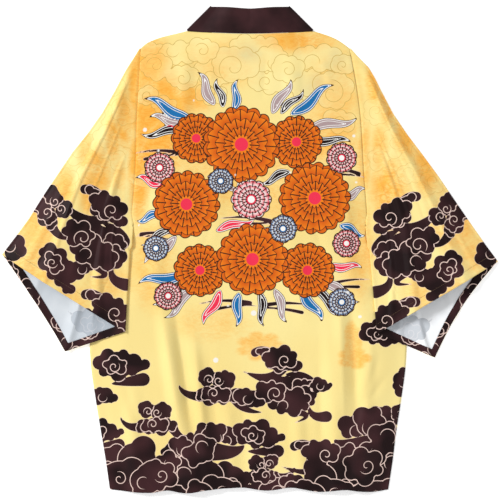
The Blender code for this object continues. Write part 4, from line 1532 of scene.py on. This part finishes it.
def cloud_colour(graph, place, ground, strength=1.0):
    """Lays the clouds over the ground, wisps first, then the puffs from the lowest layer up.

    The strength is how clearly the pale clouds stand out.
    """
    dark = graph.above(graph.kept("dark"), 0.5)
    wisp = graph.kept("wisp")
    shadow = graph.mapped(graph.noise(place, scale=20.0, detail=1.0), (0.36, 0.64))
    deep = graph.mix(shadow, colour("dark"), colour("dark_red"))
    greyness = graph.mapped(graph.noise(place, scale=15.0), (0.52, 0.66))
    pale = graph.mix(greyness, colour("tonal"), colour("tonal_grey"))
    clear = graph.mapped(graph.noise(place, scale=16.0), (0.36, 0.60), (0.25 * strength, 0.75 * strength))
    clear = graph.all_of(clear, graph.mapped(graph.kept("wash_and_shade"), (0.0, 1.0), (1.0, 0.35)))
    body = graph.mix(dark, graph.mix(clear, ground, pale), deep)
    pale_line = graph.mix(0.2 + 0.6 * strength, ground, colour("tonal_line"))
    line = graph.mix(dark, pale_line, colour("cream"))
    width = graph.math("ADD", graph.all_of(dark, DARK_LINE - PALE_LINE), PALE_LINE)
    edge = graph.all_of(graph.between(wisp, -RIM_LINE, 0.0), RIM_STRENGTH)
    result = graph.mix(edge, ground, colour("cream"))
    fills = graph.above(wisp, 0.0)
    result = graph.mix(fills, result, deep)
    for layer in LAYERS:
        feeds = {
            "Depth": graph.kept(f"puff{layer}"),
            "Curl": graph.kept(f"curl{layer}", "Vector"),
            "Reach": graph.kept(f"reach{layer}"),
            "Width": width,
            "Under": graph.most_of(fills, graph.math("SUBTRACT", 1.0, dark)),
        }
        puff = graph.group("cloud_puff", puff_group, feeds)
        rim = graph.all_of(puff["Rim"], graph.math("SUBTRACT", 1.0, fills), dark, RIM_STRENGTH)
        result = graph.mix(rim, result, colour("cream"))
        result = graph.mix(puff["Fill"], result, body)
        result = graph.mix(puff["Line"], result, line)
        fills = graph.most_of(fills, graph.all_of(puff["Fill"], dark))
    return result, fills


def leaf_colour(graph, under):
    """Lays the leaves over what is under them: an ink line, a white rim, a core and a vein."""
    leaf = graph.kept("leaf")
    hue = graph.kept("leaf_hue")
    core = colour("blue")
    for limit, name in LEAF_HUES:
        core = graph.mix(graph.above(hue, limit), core, colour(name))
    result = graph.mix(graph.above(leaf, 0.0), under, colour("ink"))
    result = graph.mix(graph.above(leaf, LEAF_RIM), result, colour("white"))
    result = graph.mix(graph.above(leaf, LEAF_CORE), result, core)
    return graph.mix(graph.between(leaf, *LEAF_VEIN), result, colour("white"))


def picture_colour(graph, under):
    """Lays the leaves, the petal rounds and the sparks over the clouds."""
    result = leaf_colour(graph, under)
    for layer in BLOOM_LAYERS:
        feeds = {"Depth": graph.kept(f"bloom{layer}"), "Place": graph.kept(f"petal{layer}", "Vector")}
        bloom = graph.group("petal_round", bloom_group, feeds)
        hue = graph.kept(f"bloom_hue{layer}")
        is_pink = graph.above(hue, PINK_HUE)
        petal = graph.mix(bloom["Shade"], colour("orange"), colour("burnt"))
        petal = graph.mix(is_pink, petal, graph.mix(bloom["Shade"], colour("pink"), colour("white")))
        cool = graph.mix(bloom["Shade"], colour("blue"), colour("white"))
        petal = graph.mix(graph.above(hue, BLUE_HUE), petal, cool)
        heart = graph.mix(is_pink, colour("pink"), colour("white"))
        petal = graph.mix(bloom["Heart"], petal, heart)
        result = graph.mix(bloom["Fill"], result, petal)
        result = graph.mix(graph.all_of(bloom["Line"], bloom["Fill"]), result, colour("ink"))
    spark = graph.mapped(graph.kept("spark"), (-SPARK_SOFTNESS, SPARK_SOFTNESS))
    return graph.mix(graph.all_of(spark, SPARK_STRENGTH), result, colour("white"))


def new_material(name):
    material = bpy.data.materials.new(name)
    material.use_nodes = True
    graph = Graph(material.node_tree)
    return material, graph, material.node_tree.nodes["Principled BSDF"]


def finish_cloth(graph, shader, place, base, roughness):
    """Joins the colour to the shader, with the weave and the small unevenness of light cloth."""
    wave = {"Vector": place, "Scale": WEAVE_SCALE, "Distortion": 0.4, "Detail": 1.0}
    weave = graph.node("ShaderNodeTexWave", wave, wave_type="BANDS", bands_direction="DIAGONAL")
    ripple = graph.noise(graph.stretched(place, 0.45), scale=26.0, detail=3.0, distortion=0.5)
    relief = graph.math("ADD", graph.all_of(weave.outputs["Fac"], WEAVE_SHARE), ripple)
    bump = graph.node("ShaderNodeBump", {"Height": relief, "Strength": 0.35, "Distance": RIPPLE_HEIGHT})
    uneven = graph.mapped(graph.noise(place, scale=40.0), (0.3, 0.7), (roughness - 0.04, roughness + 0.05))
    feeds = {"Base Color": base, "Normal": bump.outputs["Normal"], "Roughness": uneven}
    feeds.update({"Specular IOR Level": 0.10, "Sheen Weight": 0.02, "Sheen Roughness": 0.4})
    graph.feed_all(shader, feeds)


def printed_cloth(name, with_picture=False, strength=1.0):
    """The right side: satin cloth, printed."""
    material, graph, shader = new_material(name)
    place = graph.object_place()
    base = cloud_colour(graph, place, ground_colour(graph, place), strength)[0]
    if with_picture:
        base = picture_colour(graph, base)
    finish_cloth(graph, shader, place, base, 0.52)
    return material


def wrong_side(name, light=0.5):
    """The wrong side: greyish white, with the print showing through faintly. The light argument moves all of
    it towards the lighter colour as it rises: painted light and shade, set for each sleeve.
    """
    material, graph, shader = new_material(name)
    place = graph.object_place()
    patches = graph.noise(place, scale=12.0, detail=3.0)
    # Painted light and shade: a light above 0.5 paints the wrong side lighter, one below paints it darker.
    tint = graph.mapped(patches, (0.3, 0.7), (light - 0.3, light + 0.3))
    ground = graph.mix(tint, colour("wrong_side"), colour("wrong_light"))
    print_side, fills = cloud_colour(graph, place, ground)
    faint = graph.mix(graph.all_of(fills, CLOUDS_THROUGH), ground, colour("wrong_shadow"))
    finish_cloth(graph, shader, place, graph.mix(PRINT_THROUGH, faint, print_side), 0.5)
    return material


def dark_cloth(name, with_lines=False):
    """Dark brown satin, for the collar band and the turned-in hems."""
    material, graph, shader = new_material(name)
    place = graph.object_place()
    patch = graph.mapped(graph.noise(place, scale=16.0, detail=3.0), (0.36, 0.68))
    base = graph.mix(patch, colour("dark"), colour("dark_red"))
    if with_lines:
        deep = cloud_colour(graph, place, base)[0]
        base = graph.mix(graph.above(graph.kept("dark"), 0.5), base, deep)
    finish_cloth(graph, shader, place, base, 0.6)
    return material


def thread(name, base):
    """Sewing thread, with the twist of its plies, and painted shade in the grooves between them."""
    material, graph, shader = new_material(name)
    wave = {"Vector": graph.object_place(), "Scale": TWIST_SCALE}
    twist = graph.node("ShaderNodeTexWave", wave, bands_direction="DIAGONAL").outputs["Fac"]
    shaded = tuple(TWIST_SHADE * value for value in base[:3]) + (1.0,)
    bump = graph.node("ShaderNodeBump", {"Height": twist, "Strength": 0.3, "Distance": TWIST_HEIGHT})
    plies = graph.mix(twist, base, shaded)
    graph.feed_all(shader, {"Base Color": plies, "Normal": bump.outputs["Normal"], "Roughness": 0.5})
    return material


def floor_material():
    material, graph, shader = new_material("pale_floor")
    cloudy = graph.mapped(graph.noise(graph.object_place(), scale=3.0), (0.3, 0.7))
    base = graph.mix(cloudy, colour("floor"), (0.98, 0.98, 0.98, 1.0))
    glow = bpy.context.scene.robe_stage.floor_glow
    feeds = {"Base Color": base, "Roughness": 0.9, "Specular IOR Level": 0.1}
    feeds.update({"Emission Color": (1.0, 1.0, 1.0, 1.0), "Emission Strength": glow})
    graph.feed_all(shader, feeds)
    return material


# What the user can change


def length_property(label, description, default):
    return FloatProperty(name=label, description=description, default=default, unit="LENGTH", precision=5)


def number_property(label, description, default, subtype="NONE"):
    return FloatProperty(name=label, description=description, default=default, subtype=subtype)


def colour_property(label, description, default):
    return FloatVectorProperty(name=label, description=description, default=default, subtype="COLOR", size=3)


class RobeCloth(bpy.types.PropertyGroup):
    thickness: length_property("Cloth thickness", "Thickness of the printed cloth", 0.0008)
    band_thickness: length_property("Band thickness", "Thickness of the collar band, folded double", 0.0018)
    crease_depth: number_property("Crease depth", "How deep the small creases are", 1.0, "FACTOR")
    cuff_hem: length_property("Cuff hem", "Width of the hem turned in at the cuffs", 0.0145)
    lower_hem: length_property("Lower hem", "Width of the hem turned in at the lower edge", 0.012)
    stitch: length_property("Stitch", "Length of one stitch", 0.0026)


class RobeColours(bpy.types.PropertyGroup):
    ground: colour_property("Ground", "Pale yellow of the ground", (0.90, 0.70, 0.255))
    ground_light: colour_property("Ground, light", "Lightest yellow of the ground", (0.94, 0.79, 0.33))
    # The warm wash is also the colour of the painted shade along the armhole seams and beside the sleeves'
    # main ridges.
    warm: colour_property("Warm wash", "Orange wash on the shoulders and sleeves", (0.95, 0.49, 0.085))
    amber: colour_property("Amber strokes", "Feathery strokes in the wash", (0.90, 0.36, 0.035))
    tonal: colour_property("Pale cloud", "Fill of the pale clouds", (0.93, 0.79, 0.36))
    tonal_grey: colour_property("Pale cloud, grey", "Greyer parts of the pale clouds", (0.70, 0.66, 0.36))
    tonal_line: colour_property("Pale cloud line", "Lines of the pale clouds", (0.56, 0.37, 0.085))
    dark: colour_property("Dark brown", "Dark clouds, collar band and hems", (0.0135, 0.0058, 0.0062))
    dark_red: colour_property("Reddish brown", "Warmer patches of the dark brown", (0.053, 0.0185, 0.0208))
    cream: colour_property("Cream", "Lines of the dark clouds", (0.78, 0.58, 0.51))
    ink: colour_property("Ink", "Outlines of the petals and leaves", (0.050, 0.018, 0.010))
    orange: colour_property("Orange", "Petals of the large rounds", (0.86, 0.21, 0.012))
    burnt: colour_property("Burnt orange", "Shaded foot of an orange petal", (0.62, 0.10, 0.008))
    pink: colour_property("Pink", "Hearts, small rounds and leaves", (0.84, 0.035, 0.085))
    blue: colour_property("Blue", "Small rounds and leaves", (0.012, 0.155, 0.40))
    mauve: colour_property("Mauve grey", "Grey leaves", (0.42, 0.31, 0.31))
    white: colour_property("White", "Rims of the leaves, small hearts and sparks", (0.90, 0.88, 0.84))
    wrong_side: colour_property("Wrong side", "Greyish white of the wrong side", (0.61, 0.655, 0.70))
    wrong_light: colour_property("Wrong side, light", "Lightest part of the wrong side", (0.96, 0.98, 1.0))
    wrong_shadow: colour_property("Show-through", "Print that shows through", (0.42, 0.48, 0.55))
    thread: colour_property("Thread", "Thread of the cuff hems", (0.16, 0.09, 0.035))
    floor: colour_property("Floor", "Pale floor", (0.96, 0.96, 0.96))


class RobeStage(bpy.types.PropertyGroup):
    lens: number_property("Lens", "Focal length in millimetres", 100.0)
    pixel: length_property("Pixel", "Size of one pixel on the cloth", 0.00164)
    image_width: IntProperty(name="Image width", description="Width of the picture in pixels", default=500)
    key_strength: number_property("Key light", "Strength of the soft key light", 2.75)
    key_softness: number_property("Key softness", "How wide the key light looks", math.radians(16), "ANGLE")
    fill_strength: number_property("Fill light", "Strength of the weak fill light", 1.1)
    sky_strength: number_property("Sky light", "Strength of the even light", 0.46)
    floor_glow: number_property("Floor glow", "Light from below, as on a light table", 0.35)


# The pieces


class ROBE_OT_back(bpy.types.Operator):
    """Model the back from the shoulder line to the hem"""

    bl_idname = "robe.back"
    bl_label = "Back"

    def execute(self, context):
        bm = grid_bmesh(back_grid())
        face_up(bm)
        materials = [printed_cloth("back_print", with_picture=True), wrong_side("back_wrong_side")]
        piece = new_piece("back_cloth", bm, materials, "back")
        paint_clouds(piece, BACK_STREAKS + BACK_CLOUDS, PALE_PUFFS)
        paint_picture(piece)
        thicken(piece, context.scene.robe_cloth.thickness)
        return {"FINISHED"}


class ROBE_OT_fronts(bpy.types.Operator):
    """Model the two fronts, which lie face down under the back"""

    bl_idname = "robe.fronts"
    bl_label = "Fronts"

    def execute(self, context):
        for side in SIGN:
            bm = grid_bmesh(front_grid(side))
            face_up(bm, up=False)
            materials = [printed_cloth(f"front_{side}_print"), wrong_side(f"front_{side}_wrong_side")]
            piece = new_piece(f"front_{side}_cloth", bm, materials, f"front_{side}")
            paint_clouds(piece, BACK_CLOUDS, [])
            thicken(piece, context.scene.robe_cloth.thickness)
        return {"FINISHED"}


class ROBE_OT_sleeves(bpy.types.Operator):
    """Model the two sleeves, each one piece folded along its top edge"""

    bl_idname = "robe.sleeves"
    bl_label = "Sleeves"

    def execute(self, context):
        for side in SIGN:
            rings = sleeve_rings(side, np.linspace(0.0, 1.0, SLEEVE_RINGS + 1))
            bm = grid_bmesh(rings, closed=True)
            face_out(bm)
            # Each sleeve's wrong side gets its own painted light and shade.
            wrong = wrong_side(f"sleeve_{side}_wrong_side", WRONG_SIDE_PAINTED_LIGHT[side])
            materials = [printed_cloth(f"sleeve_{side}_print", strength=SLEEVE_STRENGTH), wrong]
            piece = new_piece(f"sleeve_{side}_cloth", bm, materials, f"sleeve_{side}")
            clouds = clouds_of(side, SLEEVE_CLOUDS, RIGHT_PRINT_SHIFT)
            paint_clouds(piece, clouds, sleeve_pale_puffs(side))
            thicken(piece, context.scene.robe_cloth.thickness)
        return {"FINISHED"}


class ROBE_OT_collar_band(bpy.types.Operator):
    """Model the collar band, a long strip folded double"""

    bl_idname = "robe.collar_band"
    bl_label = "Collar band"

    def execute(self, context):
        bm = grid_bmesh(band_grid())
        face_up(bm)
        satin = dark_cloth("collar_band_satin")
        piece = new_piece("collar_band_cloth", bm, [satin], "collar_band")
        thicken(piece, context.scene.robe_cloth.band_thickness)
        soft = piece.modifiers.new("soft_edge", "BEVEL")
        soft.width = SOFT_EDGE
        soft.segments = SOFT_EDGE_SEGMENTS
        soft.limit_method = "ANGLE"
        soft.angle_limit = SOFT_EDGE_ANGLE
        return {"FINISHED"}


class ROBE_OT_cuff_hems(bpy.types.Operator):
    """Model the hems turned in at the cuffs"""

    bl_idname = "robe.cuff_hems"
    bl_label = "Cuff hems"

    def execute(self, context):
        cloth = context.scene.robe_cloth
        for side in SIGN:
            rings = cuff_rings(side, np.linspace(cloth.cuff_hem / MM, 0.0, CUFF_HEM_CELLS + 1))
            bm = grid_bmesh(rings, closed=True)
            face_out(bm)
            bm.normal_update()
            for vert in bm.verts:
                vert.co -= vert.normal * hem_offset(cloth) * MM
            bmesh.ops.reverse_faces(bm, faces=bm.faces)
            satin = dark_cloth(f"cuff_hem_{side}_print", with_lines=True)
            piece = new_piece(f"cuff_hem_{side}", bm, [satin])
            paint_clouds(piece, clouds_of(side, HEM_CLOUDS, RIGHT_HEM_SHIFT), [])
            thicken(piece, cloth.thickness * HEM_THICKNESS)
        return {"FINISHED"}


class ROBE_OT_cuff_stitches(bpy.types.Operator):
    """Model the row of stitches that holds the hem of each cuff"""

    bl_idname = "robe.cuff_stitches"
    bl_label = "Cuff stitches"

    def execute(self, context):
        cloth = context.scene.robe_cloth
        rise = cloth.thickness / MM / 2.0 + THREAD_RISE
        for side in SIGN:
            rings = cuff_rings(side, cloth.cuff_hem / MM + STITCH_RINGS)
            line = rings[1] + outward_of(rings)[1] * rise
            yarn = thread(f"cuff_thread_{side}", colour("thread"))
            stitches(f"cuff_stitches_{side}", line, yarn, cloth.stitch / MM)
        return {"FINISHED"}


class ROBE_OT_lower_hems(bpy.types.Operator):
    """Model the hem turned in along the lower edge of the back and the fronts"""

    bl_idname = "robe.lower_hems"
    bl_label = "Lower hems"

    def execute(self, context):
        cloth = context.scene.robe_cloth
        away = hem_offset(cloth) + LOWER_HEM_GAP
        share = 1.0 - cloth.lower_hem / MM / (NECK_TOP - HEM_FRONT)
        rows = np.linspace(share, 1.0, LOWER_HEM_CELLS + 1)
        lower_hem(cloth, "back", back_grid(rows)[:, HEM_MARGIN:-HEM_MARGIN], -away)
        for side in SIGN:
            lower_hem(cloth, f"front_{side}", front_grid(side, rows)[:, HEM_MARGIN // 2 :], away)
        return {"FINISHED"}


def lower_hem(cloth, name, points, rise):
    """One panel's lower hem: under the back's edge, or on top of a front's."""
    points[..., 2] += rise
    bm = grid_bmesh(points)
    face_up(bm, up=rise > 0.0)
    piece = new_piece(f"{name}_hem", bm, [dark_cloth(f"{name}_hem_print")])
    thicken(piece, cloth.thickness * HEM_THICKNESS)


# The floor, the light and the camera


class ROBE_OT_stage(bpy.types.Operator):
    """Set the floor, the light and the camera"""

    bl_idname = "robe.stage"
    bl_label = "Floor, light and camera"

    def execute(self, context):
        stage = context.scene.robe_stage
        make_floor()
        make_light(stage)
        make_camera(stage)
        context.scene.view_settings.view_transform = "Standard"
        return {"FINISHED"}


def make_floor():
    bm = bmesh.new()
    bmesh.ops.create_grid(bm, x_segments=FLOOR_CELLS, y_segments=FLOOR_CELLS, size=FLOOR_HALF)
    floor = new_object("floor", bm)
    floor.data.materials.append(floor_material())


def make_light(stage):
    world = bpy.data.worlds.new("studio")
    world.use_nodes = True
    background = world.node_tree.nodes["Background"]
    background.inputs["Color"].default_value = (1.0, 1.0, 1.0, 1.0)
    background.inputs["Strength"].default_value = stage.sky_strength
    bpy.context.scene.world = world
    place_sun("key_light", stage.key_strength, stage.key_softness, KEY_PLACE)
    place_sun("fill_light", stage.fill_strength, FILL_SOFTNESS, FILL_PLACE)


def place_sun(name, strength, softness, place):
    """A distant light that shines from a place towards the middle of the robe."""
    light = bpy.data.lights.new(name, "SUN")
    light.energy = strength
    light.angle = softness
    holder = bpy.data.objects.new(name, light)
    holder.location = place
    holder.rotation_euler = (-holder.location).to_track_quat("-Z", "Y").to_euler()
    bpy.context.scene.collection.objects.link(holder)


def make_camera(stage):
    """The camera looks straight down, from where one pixel covers its size on the cloth."""
    data = bpy.data.cameras.new("camera")
    data.lens = stage.lens
    camera = bpy.data.objects.new("camera", data)
    distance = stage.pixel * stage.image_width * data.lens / data.sensor_width
    camera.location = (0.0, CAMERA_SHIFT, distance + CLOTH_TOP)
    bpy.context.scene.collection.objects.link(camera)
    bpy.context.scene.camera = camera


# The panel and the run


OPERATORS = (
    ROBE_OT_back,
    ROBE_OT_fronts,
    ROBE_OT_sleeves,
    ROBE_OT_collar_band,
    ROBE_OT_cuff_hems,
    ROBE_OT_cuff_stitches,
    ROBE_OT_lower_hems,
    ROBE_OT_stage,
)


class VIEW3D_PT_robe(bpy.types.Panel):
    bl_label = "Robe"
    bl_idname = "VIEW3D_PT_robe"
    bl_space_type = "VIEW_3D"
    bl_region_type = "UI"
    bl_category = "Robe"

    def draw(self, context):
        layout = self.layout
        for group in (context.scene.robe_cloth, context.scene.robe_colours, context.scene.robe_stage):
            box = layout.box()
            for name in group.bl_rna.properties.keys():
                if name not in ("rna_type", "name"):
                    box.prop(group, name)
        for operator in OPERATORS:
            layout.operator(operator.bl_idname)


CLASSES = (RobeCloth, RobeColours, RobeStage, *OPERATORS, VIEW3D_PT_robe)


def register():
    for item in CLASSES:
        bpy.utils.register_class(item)
    bpy.types.Scene.robe_cloth = PointerProperty(type=RobeCloth)
    bpy.types.Scene.robe_colours = PointerProperty(type=RobeColours)
    bpy.types.Scene.robe_stage = PointerProperty(type=RobeStage)


def unregister():
    del bpy.types.Scene.robe_stage
    del bpy.types.Scene.robe_colours
    del bpy.types.Scene.robe_cloth
    for item in reversed(CLASSES):
        bpy.utils.unregister_class(item)


def main():
    register()
    bpy.ops.robe.back()
    bpy.ops.robe.fronts()
    bpy.ops.robe.sleeves()
    bpy.ops.robe.collar_band()
    bpy.ops.robe.cuff_hems()
    bpy.ops.robe.cuff_stitches()
    bpy.ops.robe.lower_hems()
    bpy.ops.robe.stage()


if __name__ == "__main__":
    main()
